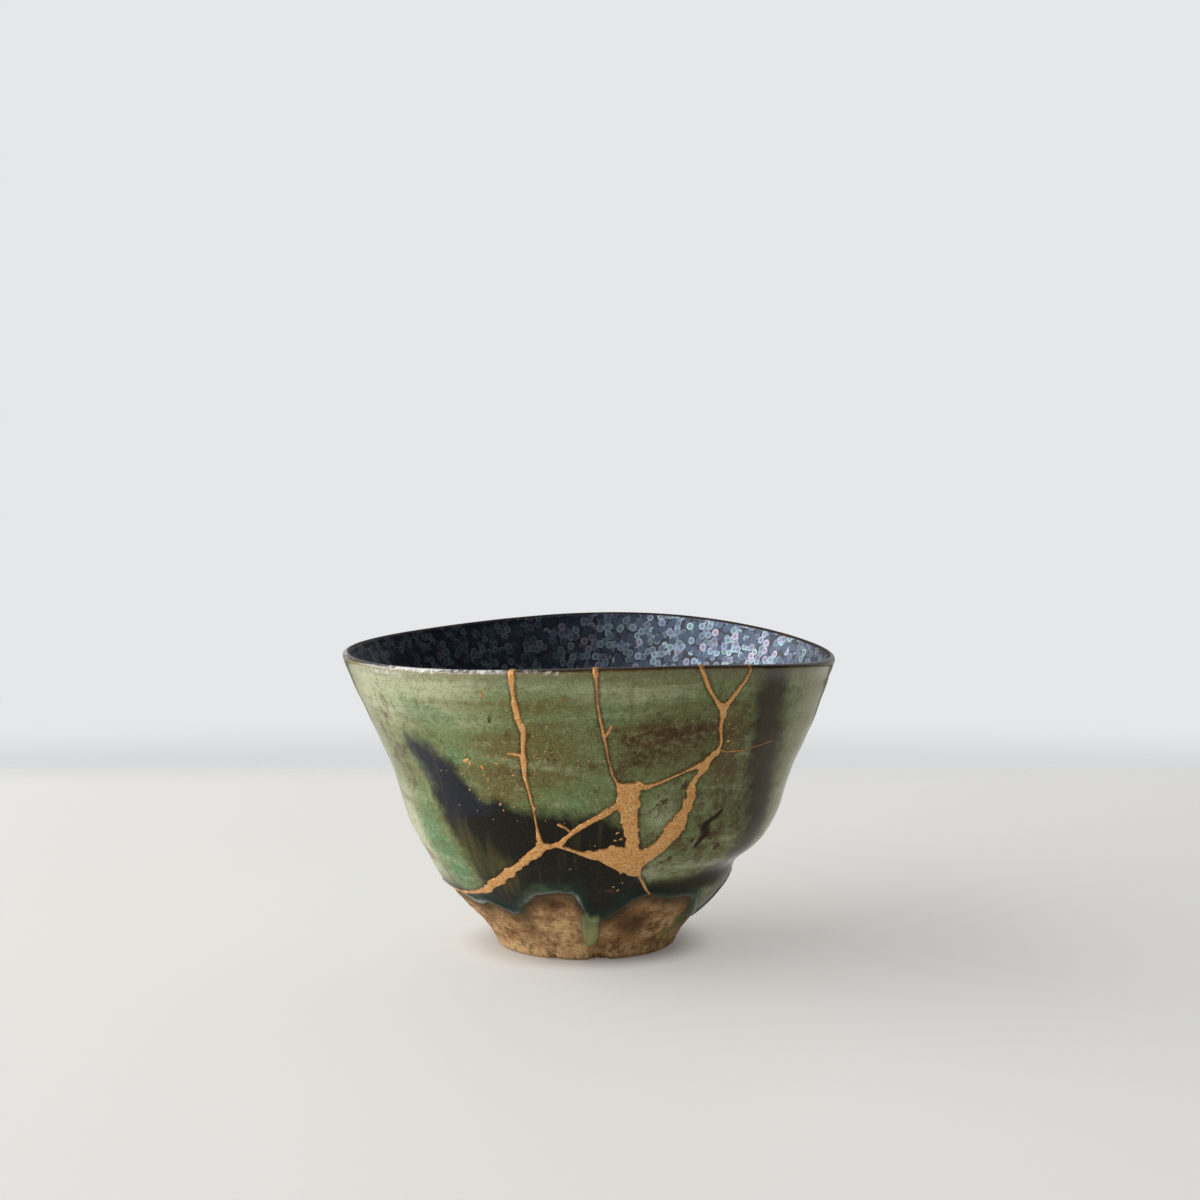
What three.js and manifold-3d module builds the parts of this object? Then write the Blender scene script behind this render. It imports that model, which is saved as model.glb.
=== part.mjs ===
// Tea bowl of dark stoneware, broken and mended with lacquer and gold.
// Millimetres, +Z up, standing on its foot ring at z = 0, front towards -Y.
// The bowl is one thrown wall. The gold network is cut out of it, which parts the wall
// into its sherds, and the same network, a little narrower and prouder, is the mend.

import * as THREE from 'three';
import { mergeVertices } from 'three/addons/utils/BufferGeometryUtils.js';
import Module from 'manifold-3d';

const wasm = await Module();
wasm.setup();

// ---------------------------------------------------------------- driving dimensions

const RIM_HEIGHT = 76.5;          // mean height of the lip above the table
const RIM_RISE = 1.8;             // how much higher the front and back stand than the sides
const RIM_TWIST = 0.6;            // three-sided wander of the lip
const RIM_RADIUS = 62.6;          // outer radius at the lip, at the two sides
const LIP_THICKNESS = 2.6;        // rounded lip
const FOOT_RADIUS = 22.9;         // outer edge of the foot ring
const FOOT_CHAMFER = 0.6;         // worn edge of the foot
const FOOT_RING_WIDTH = 6.0;      // flat of the foot ring
const FOOT_RECESS = 5.0;          // depth of the hollow inside the foot ring
const FLOOR_HEIGHT = 11.5;        // inside floor above the table
const BELLY_HEIGHT = 30;          // where the steep wall turns into the cone of the foot
const BELLY_RADIUS = 45.2;
const WAIST_HEIGHT = 46;          // slight waist above the belly
const WAIST_RADIUS = 51.3;

const SECTION_HEIGHT = 75;        // the section below is drawn to this lip height
const OVAL = 1.2;                 // the bowl is wider from side to side
const SQUARENESS = 0.6;           // and a little squared
const FRONT_SWELL = 0.5;          // and fuller in front
const FOOT_LEAN = -0.6;           // the foot sits a little to the left,
const BELLY_LEAN = 0.9;           // the belly a little to the right,
const RIM_LEAN = 0.2;             // and the lip almost in the middle

const GROOVE_HEIGHT = 22;         // pinched groove under the belly, front right
const GROOVE_DEPTH = 2.6;
const GROOVE_HALF_HEIGHT = 3.2;
const DIMPLE = { azimuth: -82, height: 25.5, depth: 1.3, spread: 6, halfHeight: 3.2 };

const SEAM_PROUD = 0.3;           // the gold stands this far off the clay
const SEAM_CLEARANCE = 0.3;       // gap between the mend and each sherd

const SEGMENTS = 56;              // round the bowl
const OUTER_ROWS = 23;
const INNER_ROWS = 11;
const LIP_ROWS = 4;
const SMALLEST_DETAIL = 0.02;     // slivers left by the cuts, finer than this, are dropped

// Gold seams, each a run of [azimuth in degrees from the front, positive towards +X;
// height above the table, mm; width of the gold, mm]. ABOVE_RIM takes a seam over the lip.
const ABOVE_RIM = 81;
const SEAMS = {
  left: [
    [-17, ABOVE_RIM, 2.0], [-17, 75, 1.5], [-17.2, 70, 1.2], [-17, 65.5, 1.6],
    [-15.8, 62, 1.7], [-16.3, 58.5, 1.2], [-17, 54, 1.5], [-17, 50, 1.2],
    [-16.3, 46.5, 0.7], [-15.5, 42.5, 0.7], [-14.9, 38, 0.7], [-14.5, 35, 1.4],
    [-13.8, 32.5, 2.6],
  ],
  lowerLeft: [
    [-13, 33.2, 2.4], [-16, 31.3, 1.7], [-20, 29, 1.7], [-24, 26.8, 1.9],
    [-29, 24.5, 2.2], [-34.5, 21.8, 2.0], [-41, 19.3, 1.5], [-47, 18, 1.3],
    [-54, 17, 1.0], [-66, 17.5, 0.8], [-80, 20, 0.7], [-95, 24, 0.7], [-108, 30, 0.7],
  ],
  upperBranch: [
    [-14.5, 33, 2.0], [-10.5, 33.3, 1.2], [-8, 34.1, 1.2], [-5.5, 36, 0.9],
    [-2, 38.4, 1.1], [1, 39.7, 1.2], [5, 41.7, 1.2], [9.5, 44.4, 2.0],
  ],
  lowerBranch: [
    [-9.5, 33.6, 1.1], [-5, 32.4, 0.9], [-2, 31.6, 1.0], [1, 31.3, 1.6], [4, 31.1, 3.4],
    [7, 30.8, 5.4], [11, 29.6, 6.0], [15, 28.3, 6.2], [18.2, 27.3, 5.0],
  ],
  wedge: [
    [11.4, 49.5, 6.2], [11.4, 47, 5.9], [11.5, 44.5, 5.4], [11.9, 41.5, 4.6],
    [12.6, 38, 3.9], [13.3, 35.5, 3.3], [13.9, 33, 3.0], [14.4, 30, 4.0],
  ],
  band: [
    [16, 29, 3.6], [19, 30.7, 3.9], [22.5, 32.7, 4.2], [25.2, 35.8, 4.5],
    [27.4, 38.2, 4.4], [28.6, 40.8, 2.9], [29.8, 43.7, 2.4], [30.3, 46, 2.3],
    [30.4, 48, 1.6], [31.8, 50.4, 1.3], [32.8, 52.2, 2.0], [34.2, 54.4, 2.3],
    [36, 55.9, 1.5], [36.5, 57.5, 0.9], [36, 59.5, 0.9], [35.2, 62, 1.0],
    [35, 64.5, 1.5], [34.7, 66.8, 2.2],
  ],
  thinBranch: [
    [13.5, 48.6, 1.8], [16.4, 48.1, 1.2], [20, 49, 0.9], [24, 50.4, 0.7],
    [27.6, 51.6, 0.7], [30, 52.4, 1.2], [33.2, 53.4, 2.0],
  ],
  middle: [
    [1.5, ABOVE_RIM, 1.8], [1.8, 77.5, 1.4], [2.1, 74.5, 0.7], [2.4, 70, 0.7],
    [3.1, 65.4, 0.8], [4, 62, 0.9], [4.7, 59, 0.7], [5.5, 55, 0.7], [6.7, 51.5, 0.7],
    [8.6, 48.4, 1.0],
  ],
  leftArm: [
    [35.2, 66.2, 1.8], [32.3, 68.7, 0.9], [30.2, 71, 1.0], [28.8, 73, 1.3],
    [27.5, 75.5, 1.0], [26, 78, 1.1], [25.2, ABOVE_RIM, 1.2],
  ],
  rightArm: [
    [34, 66.2, 1.8], [36, 68.2, 1.2], [37.5, 70.3, 1.2], [39, 72.5, 0.9],
    [40.2, 75, 0.8], [40.7, 78, 1.0], [40.9, ABOVE_RIM, 1.0],
  ],
  bottomCrack: [
    [17, 26.5, 1.2], [18.5, 24.3, 0.7], [20.7, 22.5, 0.8], [22.5, 20.6, 0.8],
    [24.9, 18.8, 0.6],
  ],
};

// Where each sherd but the main one has its middle: [azimuth in degrees, height, mm].
const SHERDS = {
  rim_sherd_left: [-8, 58],
  rim_sherd_right: [18, 64],
  rim_chip: [33.5, 75],
  belly_sherd_left: [5, 37],
  belly_sherd_right: [21, 42],
};

// Chips knocked out of the foot's edge: [azimuth in degrees, width, height, depth, mm].
const FOOT_CHIPS = [
  [-22.4, 1.8, 1.4, 0.9],
  [7, 3.8, 3.0, 1.6],
];

// ---------------------------------------------------------------- the wall's shape

const DEG = Math.PI / 180;

function smoothStep(from, to, x) {
  const t = THREE.MathUtils.clamp((x - from) / (to - from), 0, 1);
  return t * t * (3 - 2 * t);
}

function bump(x, centre, halfWidth) {
  return Math.exp(-(((x - centre) / halfWidth) ** 2));
}

// Height of the lip at azimuth a: high in front and at the back, low at the sides.
function rimHeight(a) {
  return RIM_HEIGHT + RIM_RISE * Math.cos(2 * a) + RIM_TWIST * Math.sin(3 * a);
}

// Departure of the plan from a circle, zero at the sides, where the section is drawn.
function planOffset(a) {
  const wave = SQUARENESS * Math.cos(4 * a) - OVAL * Math.cos(2 * a) + FRONT_SWELL * Math.cos(3 * a);
  return wave - OVAL - SQUARENESS;
}

// Sideways lean of the section, which turns from foot to belly and from belly to lip.
function leanOffset(h) {
  const atBelly = THREE.MathUtils.lerp(FOOT_LEAN, BELLY_LEAN, smoothStep(20, 36, h));
  return THREE.MathUtils.lerp(atBelly, RIM_LEAN, smoothStep(55, 72, h));
}

// Hand-made dents of the outside: the groove pinched under the belly and the left dimple.
function dentDepth(a, h) {
  const degrees = a / DEG;
  const alongGroove = smoothStep(8, 32, degrees) * (1 - smoothStep(65, 115, degrees));
  const groove = GROOVE_DEPTH * alongGroove * bump(h, GROOVE_HEIGHT, GROOVE_HALF_HEIGHT);
  const dimple = DIMPLE.depth * bump(degrees, DIMPLE.azimuth, DIMPLE.spread)
    * bump(h, DIMPLE.height, DIMPLE.halfHeight);
  return groove + dimple;
}

// Maps a point of the drawn section, radius r and height h, to the bowl at azimuth a.
// Near the axis the wander fades out, so the floor and the recess close in one point.
const FADE_RADIUS = 20;
function bowlPoint(a, r, h, isOutside) {
  const fade = Math.min(1, r / FADE_RADIUS);
  const wander = leanOffset(h) * Math.sin(a) + planOffset(a) * smoothStep(10, 70, h);
  const radius = r + fade * wander - (isOutside ? dentDepth(a, h) : 0);
  const z = h * rimHeight(a) / SECTION_HEIGHT;
  return new THREE.Vector3(radius * Math.sin(a), -radius * Math.cos(a), z);
}

const outerCurve = new THREE.SplineCurve([
  new THREE.Vector2(FOOT_RADIUS, FOOT_CHAMFER),
  new THREE.Vector2(26.5, 6),
  new THREE.Vector2(32.3, 12),
  new THREE.Vector2(39.1, 21),
  new THREE.Vector2(BELLY_RADIUS, BELLY_HEIGHT),
  new THREE.Vector2(48.3, 37),
  new THREE.Vector2(WAIST_RADIUS, WAIST_HEIGHT),
  new THREE.Vector2(56.6, 58),
  new THREE.Vector2(61.4, 70),
  new THREE.Vector2(RIM_RADIUS, SECTION_HEIGHT - LIP_THICKNESS / 2),
]);

const innerCurve = new THREE.SplineCurve([
  new THREE.Vector2(RIM_RADIUS - LIP_THICKNESS, SECTION_HEIGHT - LIP_THICKNESS / 2),
  new THREE.Vector2(58.4, 70),
  new THREE.Vector2(53, 58),
  new THREE.Vector2(47.4, 46),
  new THREE.Vector2(43.6, 38),
  new THREE.Vector2(39.5, 30),
  new THREE.Vector2(33.5, 22.5),
  new THREE.Vector2(25, 16.5),
  new THREE.Vector2(13, 12.7),
  new THREE.Vector2(0, FLOOR_HEIGHT),
]);

// The section from the centre of the recess, round the outside, over the lip and down to
// the centre of the floor, as { r, h, isOutside } points.
function drawSection() {
  const ringOuter = FOOT_RADIUS - FOOT_CHAMFER;
  const ringInner = ringOuter - FOOT_RING_WIDTH;
  const section = [
    { r: 0, h: FOOT_RECESS + 0.2 },
    { r: ringInner - 3, h: FOOT_RECESS },
    { r: ringInner - 1, h: FOOT_RECESS - 1 },
    { r: ringInner - 0.4, h: FOOT_CHAMFER },
    { r: ringInner, h: 0 },
    { r: ringOuter, h: 0 },
  ];
  for (const point of outerCurve.getSpacedPoints(OUTER_ROWS)) {
    section.push({ r: point.x, h: point.y, isOutside: true });
  }
  const lipRadius = LIP_THICKNESS / 2;
  for (let i = 1; i < LIP_ROWS; i += 1) {
    const turn = Math.PI * i / LIP_ROWS;
    section.push({
      r: RIM_RADIUS - lipRadius + lipRadius * Math.cos(turn),
      h: SECTION_HEIGHT - lipRadius + lipRadius * Math.sin(turn),
    });
  }
  for (const point of innerCurve.getSpacedPoints(INNER_ROWS)) {
    section.push({ r: point.x, h: point.y });
  }
  return section;
}

// Moves each point of the section along its outward normal, and leaves the axis alone.
function growSection(section, distance) {
  return section.map((point, i) => {
    if (point.r === 0) {
      return point;
    }
    const before = section[i - 1];
    const after = section[i + 1];
    const length = Math.hypot(after.r - before.r, after.h - before.h);
    return {
      ...point,
      r: point.r + distance * (after.h - before.h) / length,
      h: point.h - distance * (after.r - before.r) / length,
    };
  });
}

// ---------------------------------------------------------------- solids

function toManifold(vertices, triangles) {
  const mesh = new wasm.Mesh({
    numProp: 3,
    vertProperties: new Float32Array(vertices.flatMap((v) => [v.x, v.y, v.z])),
    triVerts: new Uint32Array(triangles.flat()),
  });
  return new wasm.Manifold(mesh);
}

// Turns a section that starts and ends on the axis into a closed solid of the bowl's plan.
function turnSection(section) {
  const rings = section.slice(1, -1);
  const vertices = [];
  for (const point of rings) {
    for (let s = 0; s < SEGMENTS; s += 1) {
      const azimuth = 2 * Math.PI * s / SEGMENTS;
      const signed = azimuth > Math.PI ? azimuth - 2 * Math.PI : azimuth;
      vertices.push(bowlPoint(signed, point.r, point.h, point.isOutside));
    }
  }
  const bottomPole = vertices.length;
  vertices.push(bowlPoint(0, 0, section[0].h, false));
  const topPole = vertices.length;
  vertices.push(bowlPoint(0, 0, section[section.length - 1].h, false));

  const triangles = [];
  const last = (rings.length - 1) * SEGMENTS;
  for (let s = 0; s < SEGMENTS; s += 1) {
    const next = (s + 1) % SEGMENTS;
    triangles.push([bottomPole, next, s]);
    triangles.push([topPole, last + s, last + next]);
    for (let row = 0; row < rings.length - 1; row += 1) {
      const a = row * SEGMENTS + s;
      const b = row * SEGMENTS + next;
      triangles.push([a, b, b + SEGMENTS]);
      triangles.push([a, b + SEGMENTS, a + SEGMENTS]);
    }
  }
  return toManifold(vertices, triangles);
}

// Outer radius of the drawn section at height h, read off the outer curve.
const outerSamples = outerCurve.getPoints(400);
function outerRadiusAt(h) {
  const above = outerSamples.findIndex((point) => point.y >= h);
  return above < 0 ? RIM_RADIUS : outerSamples[above].x;
}

// A seam as a closed fin that stands through the wall: at each station its two edges lie
// half a width to either side of the run, and reach from inside the bowl to outside it.
const FIN_OUTSIDE = 6;
const FIN_INSIDE = 13;
function seamFin(run, clearance) {
  const middle = run.map(([azimuth, height]) => {
    const radius = outerRadiusAt(height);
    return { radius, along: azimuth * DEG * radius, up: height };
  });
  const vertices = [];
  middle.forEach((station, i) => {
    const before = middle[Math.max(i - 1, 0)];
    const after = middle[Math.min(i + 1, middle.length - 1)];
    const direction = new THREE.Vector2(
      (after.along / after.radius - before.along / before.radius) * station.radius,
      after.up - before.up,
    ).normalize();
    const isEnd = i === 0 || i === middle.length - 1;
    const stretch = isEnd ? clearance * (i === 0 ? -1 : 1) : 0;
    const half = run[i][2] / 2 + clearance;
    for (const side of [-1, 1]) {
      const along = station.along + direction.x * stretch - direction.y * half * side;
      const up = station.up + direction.y * stretch + direction.x * half * side;
      for (const reach of [FIN_OUTSIDE, -FIN_INSIDE]) {
        const azimuth = along / station.radius;
        const radius = station.radius + reach;
        vertices.push(new THREE.Vector3(radius * Math.sin(azimuth), -radius * Math.cos(azimuth), up));
      }
    }
  });
  // Corner order at a station: right outside, right inside, left outside, left inside.
  const triangles = [[0, 2, 3], [0, 3, 1]];
  const end = vertices.length - 4;
  triangles.push([end, end + 3, end + 2], [end, end + 1, end + 3]);
  const around = [0, 1, 3, 2];
  for (let base = 0; base < end; base += 4) {
    around.forEach((corner, i) => {
      const a = base + corner;
      const b = base + around[(i + 1) % 4];
      triangles.push([a, b, b + 4], [a, b + 4, a + 4]);
    });
  }
  return toManifold(vertices, triangles);
}

function seamNetwork(clearance) {
  const fins = Object.values(SEAMS).map((run) => seamFin(run, clearance));
  return fins.reduce((joined, fin) => joined.add(fin));
}

// A chip is a flattened ball sunk into the foot's edge.
function footChip([azimuth, width, height, depth]) {
  const ball = new THREE.SphereGeometry(1, 8, 6);
  ball.deleteAttribute('normal');
  ball.deleteAttribute('uv');
  ball.applyMatrix4(new THREE.Matrix4().makeScale(width / 2, depth, height));
  ball.applyMatrix4(new THREE.Matrix4().makeTranslation(0, -FOOT_RADIUS - 0.3, 0));
  ball.applyMatrix4(new THREE.Matrix4().makeRotationZ(azimuth * DEG));
  const merged = mergeVertices(ball, 1e-5);
  return new wasm.Manifold(new wasm.Mesh({
    numProp: 3,
    vertProperties: new Float32Array(merged.attributes.position.array),
    triVerts: new Uint32Array(merged.index.array),
  }));
}

function toGeometry(solid) {
  const { vertProperties, triVerts } = solid.simplify(SMALLEST_DETAIL).getMesh();
  const geometry = new THREE.BufferGeometry();
  geometry.setAttribute('position', new THREE.BufferAttribute(vertProperties, 3));
  geometry.setIndex(new THREE.BufferAttribute(triVerts, 1));
  geometry.computeVertexNormals();
  return geometry;
}

// The middle of a solid's box, to tell the sherds apart.
function middleOf(solid) {
  const box = solid.boundingBox();
  return new THREE.Vector3(...box.min).add(new THREE.Vector3(...box.max)).multiplyScalar(0.5);
}

// ---------------------------------------------------------------- materials

const glazedStoneware = new THREE.MeshStandardMaterial({
  color: '#5c6b45', roughness: 0.3, metalness: 0,
});
const goldLacquer = new THREE.MeshStandardMaterial({
  color: '#b88646', roughness: 0.45, metalness: 0.9,
});

// ---------------------------------------------------------------- the bowl

const section = drawSection();
let wall = turnSection(section);
for (const chip of FOOT_CHIPS) {
  wall = wall.subtract(footChip(chip));
}

const goldSeams = turnSection(growSection(section, SEAM_PROUD)).intersect(seamNetwork(0));
const parted = wall.subtract(seamNetwork(SEAM_CLEARANCE)).decompose();

const bowl = new THREE.Group();

function addPiece(name, solid, material) {
  const mesh = new THREE.Mesh(toGeometry(solid), material);
  mesh.name = name;
  bowl.add(mesh);
}

const bodySherd = parted.reduce((biggest, piece) => (
  piece.volume() > biggest.volume() ? piece : biggest
));
addPiece('bowl_body', bodySherd, glazedStoneware);

for (const [name, [azimuth, height]] of Object.entries(SHERDS)) {
  const marker = bowlPoint(azimuth * DEG, outerRadiusAt(height), height, true);
  const distanceTo = (piece) => middleOf(piece).distanceTo(marker);
  const sherd = parted.reduce((nearest, piece) => (
    distanceTo(piece) < distanceTo(nearest) ? piece : nearest
  ));
  addPiece(name, sherd, glazedStoneware);
}

addPiece('gold_seams', goldSeams, goldLacquer);

// The origin is under the middle of the bowl's box, on the table.
const extent = new THREE.Box3().setFromObject(bowl, true);
const centre = extent.getCenter(new THREE.Vector3());
bowl.position.set(-centre.x, -centre.y, 0);

export default bowl;
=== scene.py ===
"""Kintsugi tea bowl: the glazed sherds, the gold mend and a small studio, as a Blender add-on."""

import math

import bpy
import numpy as np
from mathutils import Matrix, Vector


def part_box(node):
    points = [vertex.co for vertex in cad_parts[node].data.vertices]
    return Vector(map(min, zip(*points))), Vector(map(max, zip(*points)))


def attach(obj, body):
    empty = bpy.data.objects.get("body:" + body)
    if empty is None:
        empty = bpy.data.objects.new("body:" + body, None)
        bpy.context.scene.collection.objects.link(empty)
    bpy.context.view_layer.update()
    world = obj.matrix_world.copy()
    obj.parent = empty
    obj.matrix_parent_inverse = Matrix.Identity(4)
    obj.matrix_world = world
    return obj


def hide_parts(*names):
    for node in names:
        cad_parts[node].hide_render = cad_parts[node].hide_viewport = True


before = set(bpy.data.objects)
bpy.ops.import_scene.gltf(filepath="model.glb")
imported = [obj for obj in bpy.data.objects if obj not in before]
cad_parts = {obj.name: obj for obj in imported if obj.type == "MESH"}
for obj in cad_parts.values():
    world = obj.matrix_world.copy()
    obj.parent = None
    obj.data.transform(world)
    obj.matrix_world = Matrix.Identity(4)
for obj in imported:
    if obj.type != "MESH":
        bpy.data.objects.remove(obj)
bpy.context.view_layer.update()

bl_info = {
    "name": "Kintsugi Tea Bowl",
    "version": (1, 0, 0),
    "blender": (4, 5, 0),
    "location": "3D View > Sidebar > Tea Bowl",
    "description": "Builds a mended stoneware tea bowl round its packed frame",
    "category": "Object",
}

MM = 0.001

# ------------------------------------------------------------------ the bowl's form, mm
# The same driving sizes and curves as the frame's solids. Azimuth runs from the front
# (-Y), positive towards +X. Heights in a section are drawn to a lip height of 75.

SECTION_HEIGHT = 75.0
RIM_HEIGHT, RIM_RISE, RIM_TWIST = 76.5, 1.8, 0.6
RIM_RADIUS = 62.6
LIP_THICKNESS = 2.6
FOOT_RADIUS, FOOT_CHAMFER = 22.9, 0.6
FLOOR_HEIGHT = 11.5
OVAL, SQUARENESS, FRONT_SWELL = 1.2, 0.6, 0.5
FOOT_LEAN, BELLY_LEAN, RIM_LEAN = -0.6, 0.9, 0.2
SKIN_INSET = 0.05       # keeps the fine surface inside the frame's box
GROOVE_DEPTH, GROOVE_HEIGHT, GROOVE_HALF_HEIGHT = 2.6, 22, 3.2
DIMPLE_DEPTH, DIMPLE_AZIMUTH, DIMPLE_HEIGHT = 1.3, -82, 25.5
PLAN_FADE_RADIUS = 20   # the plan's waves fade out inside this radius

OUTER_POINTS = [
    (FOOT_RADIUS, FOOT_CHAMFER), (26.5, 6), (32.3, 12), (39.1, 21), (45.2, 30), (48.3, 37),
    (51.3, 46), (56.6, 58), (61.4, 70), (RIM_RADIUS, SECTION_HEIGHT - LIP_THICKNESS / 2),
]
INNER_POINTS = [
    (RIM_RADIUS - LIP_THICKNESS, SECTION_HEIGHT - LIP_THICKNESS / 2), (58.4, 70), (53, 58),
    (47.4, 46), (43.6, 38), (39.5, 30), (33.5, 22.5), (25, 16.5), (13, 12.7), (0, FLOOR_HEIGHT),
]

# Seams of gold, each a run of (azimuth in degrees, height in mm, width in mm).
ABOVE_RIM = 81
SEAMS = {
    "left": [
        (-17, ABOVE_RIM, 2.0), (-17, 75, 1.5), (-17.2, 70, 1.2), (-17, 65.5, 1.6),
        (-15.8, 62, 1.7), (-16.3, 58.5, 1.2), (-17, 54, 1.5), (-17, 50, 1.2),
        (-16.3, 46.5, 0.6), (-15.5, 42.5, 0.5), (-14.9, 38, 0.6), (-14.5, 35, 1.4),
        (-13.8, 32.5, 2.6),
    ],
    "lower_left": [
        (-13, 33.2, 2.4), (-16, 31.3, 1.7), (-20, 29, 1.7), (-24, 26.8, 1.9),
        (-29, 24.5, 2.2), (-34.5, 21.8, 2.0), (-41, 19.3, 1.5), (-47, 18, 1.0),
        (-54, 17, 0.5), (-66, 17, 0.4), (-80, 18, 0.4), (-95, 22, 0.4), (-108, 30, 0.4),
    ],
    "upper_branch": [
        (-14.5, 33, 2.0), (-10.5, 33.3, 1.2), (-8, 34.1, 1.2), (-5.5, 36, 0.9),
        (-2, 38.4, 1.1), (1, 39.7, 1.2), (5, 41.7, 1.2), (9.5, 44.4, 2.0),
    ],
    "lower_branch": [
        (-9.5, 33.6, 1.1), (-5, 32.4, 0.9), (-2, 31.6, 1.0), (1, 31.3, 1.6), (4, 31.1, 3.4),
        (7, 30.8, 5.4), (11, 29.6, 6.0), (15, 28.3, 6.2), (18.2, 27.3, 5.0),
    ],
    "wedge": [
        (11.4, 49.5, 6.2), (11.4, 47, 5.9), (11.5, 44.5, 5.4), (11.9, 41.5, 4.6),
        (12.6, 38, 3.9), (13.3, 35.5, 3.3), (13.9, 33, 3.0), (14.4, 30, 4.0),
    ],
    "band": [
        (16, 29, 3.6), (19, 30.7, 3.9), (22.5, 32.7, 4.2), (25.2, 35.8, 4.5),
        (27.4, 38.2, 4.4), (28.6, 40.8, 2.9), (29.8, 43.7, 2.4), (30.3, 46, 2.3),
        (30.4, 48, 1.6), (31.8, 50.4, 1.3), (32.8, 52.2, 2.0), (34.2, 54.4, 2.3),
        (36, 55.9, 1.5), (36.5, 57.5, 0.9), (36, 59.5, 0.9), (35.2, 62, 1.0),
        (35, 64.5, 1.5), (34.7, 66.8, 2.2),
    ],
    "thin_branch": [
        (13.5, 48.6, 1.8), (16.4, 48.1, 1.2), (20, 49, 0.9), (24, 50.4, 0.6),
        (27.6, 51.6, 0.6), (30, 52.4, 1.2), (33.2, 53.4, 2.0),
    ],
    "middle": [
        (1.5, ABOVE_RIM, 1.8), (1.8, 77.5, 1.4), (2.1, 74.5, 0.6), (2.4, 70, 0.45),
        (3.1, 65.4, 0.6), (4, 62, 0.75), (4.7, 59, 0.6), (5.5, 55, 0.4), (6.7, 51.5, 0.4),
        (8.6, 48.4, 0.8),
    ],
    "left_arm": [
        (35.2, 66.2, 1.8), (32.3, 68.7, 0.9), (30.2, 71, 1.0), (28.8, 73, 1.3),
        (27.5, 75.5, 1.0), (26, 78, 1.1), (25.2, ABOVE_RIM, 1.2),
    ],
    "right_arm": [
        (34, 66.2, 1.8), (36, 68.2, 1.2), (37.5, 70.3, 1.2), (39, 72.5, 0.9),
        (40.2, 75, 0.8), (40.7, 78, 1.0), (40.9, ABOVE_RIM, 1.0),
    ],
    "bottom_crack": [
        (17, 26.5, 1.2), (18.5, 24.3, 0.6), (20.7, 22.5, 0.7), (22.5, 20.6, 0.7),
        (24.9, 18.8, 0.4),
    ],
}

# Threads of gold that lie on the glaze only: spurs beside the seams and one hairline.
THREADS = [
    [(-17, 56, 0.6), (-19, 56.2, 0.8), (-21, 56.2, 0.4)],
    [(4.4, 61, 0.5), (5.2, 62.3, 0.8), (6, 64.2, 0.5)],
    [(-15.6, 41.6, 0.4), (-15.1, 42.6, 0.7), (-15, 43.4, 0.3)],
    [(-4.6, 36.9, 0.6), (-6.2, 38, 0.5), (-7.8, 38.7, 0.9), (-8.8, 38.9, 0.4)],
    [(36.8, 56.2, 0.4), (39, 55.3, 0.32), (41.4, 55.3, 0.32), (41.9, 55.4, 0.6),
     (42.4, 55.4, 0.32), (45.8, 55, 0.32), (49, 55.6, 0.34), (49.6, 55.7, 0.6),
     (50.2, 55.7, 0.34), (53, 56.1, 0.34), (56.3, 56.4, 0.3)],
    [(-25.6, 69.6, 0.3), (-25.3, 71, 0.6), (-25, 72, 0.2)],
]

# Corner runs that close each sherd's outline, as slices of the seams above.
SHERD_OUTLINES = {
    "rim_sherd_left": SEAMS["left"] + SEAMS["upper_branch"][1:] + [SEAMS["wedge"][0]]
    + SEAMS["middle"][::-1],
    "rim_sherd_right": SEAMS["middle"] + SEAMS["wedge"][:1] + SEAMS["thin_branch"]
    + SEAMS["band"][11:] + SEAMS["left_arm"],
    "rim_chip": SEAMS["left_arm"][::-1] + SEAMS["right_arm"],
    "belly_sherd_left": SEAMS["lower_branch"][:7] + SEAMS["wedge"][2:7][::-1]
    + SEAMS["upper_branch"][3:][::-1],
    "belly_sherd_right": SEAMS["thin_branch"][:1] + SEAMS["wedge"][1:] + SEAMS["band"][:11]
    + SEAMS["thin_branch"][1:6][::-1],
}


def smooth_step(low, high, x):
    """Rises from 0 at low to 1 at high along t squared times (3 minus 2t)."""
    t = np.clip((x - low) / (high - low), 0, 1)
    return t * t * (3 - 2 * t)


def bump(x, centre, half_width):
    """A bell curve: e to the minus square of the distance from centre in half widths."""
    return np.exp(-((x - centre) / half_width) ** 2)


def smooth_curve(points, steps=48):
    """A Catmull-Rom curve: in each span a cubic whose end slopes are half the chord
    between the points on either side."""
    p = np.array(points, float)
    p = np.vstack([p[:1], p, p[-1:]])
    t = np.linspace(0, 1, steps, endpoint=False)[:, None]
    spans = []
    for a, b, c, d in zip(p[:-3], p[1:-2], p[2:-1], p[3:]):
        start, stop = (c - a) / 2, (d - b) / 2
        cubic = (2 * b - 2 * c + start + stop) * t + (3 * c - 3 * b - 2 * start - stop)
        spans.append((cubic * t + start) * t + b)
    return np.vstack(spans + [p[-1:]])


OUTER_CURVE = smooth_curve(OUTER_POINTS)
INNER_CURVE = smooth_curve(INNER_POINTS)[::-1]


def outer_radius(h):
    """Radius of the drawn outer section at height h."""
    return np.interp(h, OUTER_CURVE[:, 1], OUTER_CURVE[:, 0])


def inner_radius(h):
    """Radius of the drawn inner section at height h."""
    return np.interp(h, INNER_CURVE[:, 1], INNER_CURVE[:, 0])


def rim_height(a):
    """Lip height at azimuth a: a two-sided wave plus a weaker three-sided one."""
    return RIM_HEIGHT + RIM_RISE * np.cos(2 * a) + RIM_TWIST * np.sin(3 * a)


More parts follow.
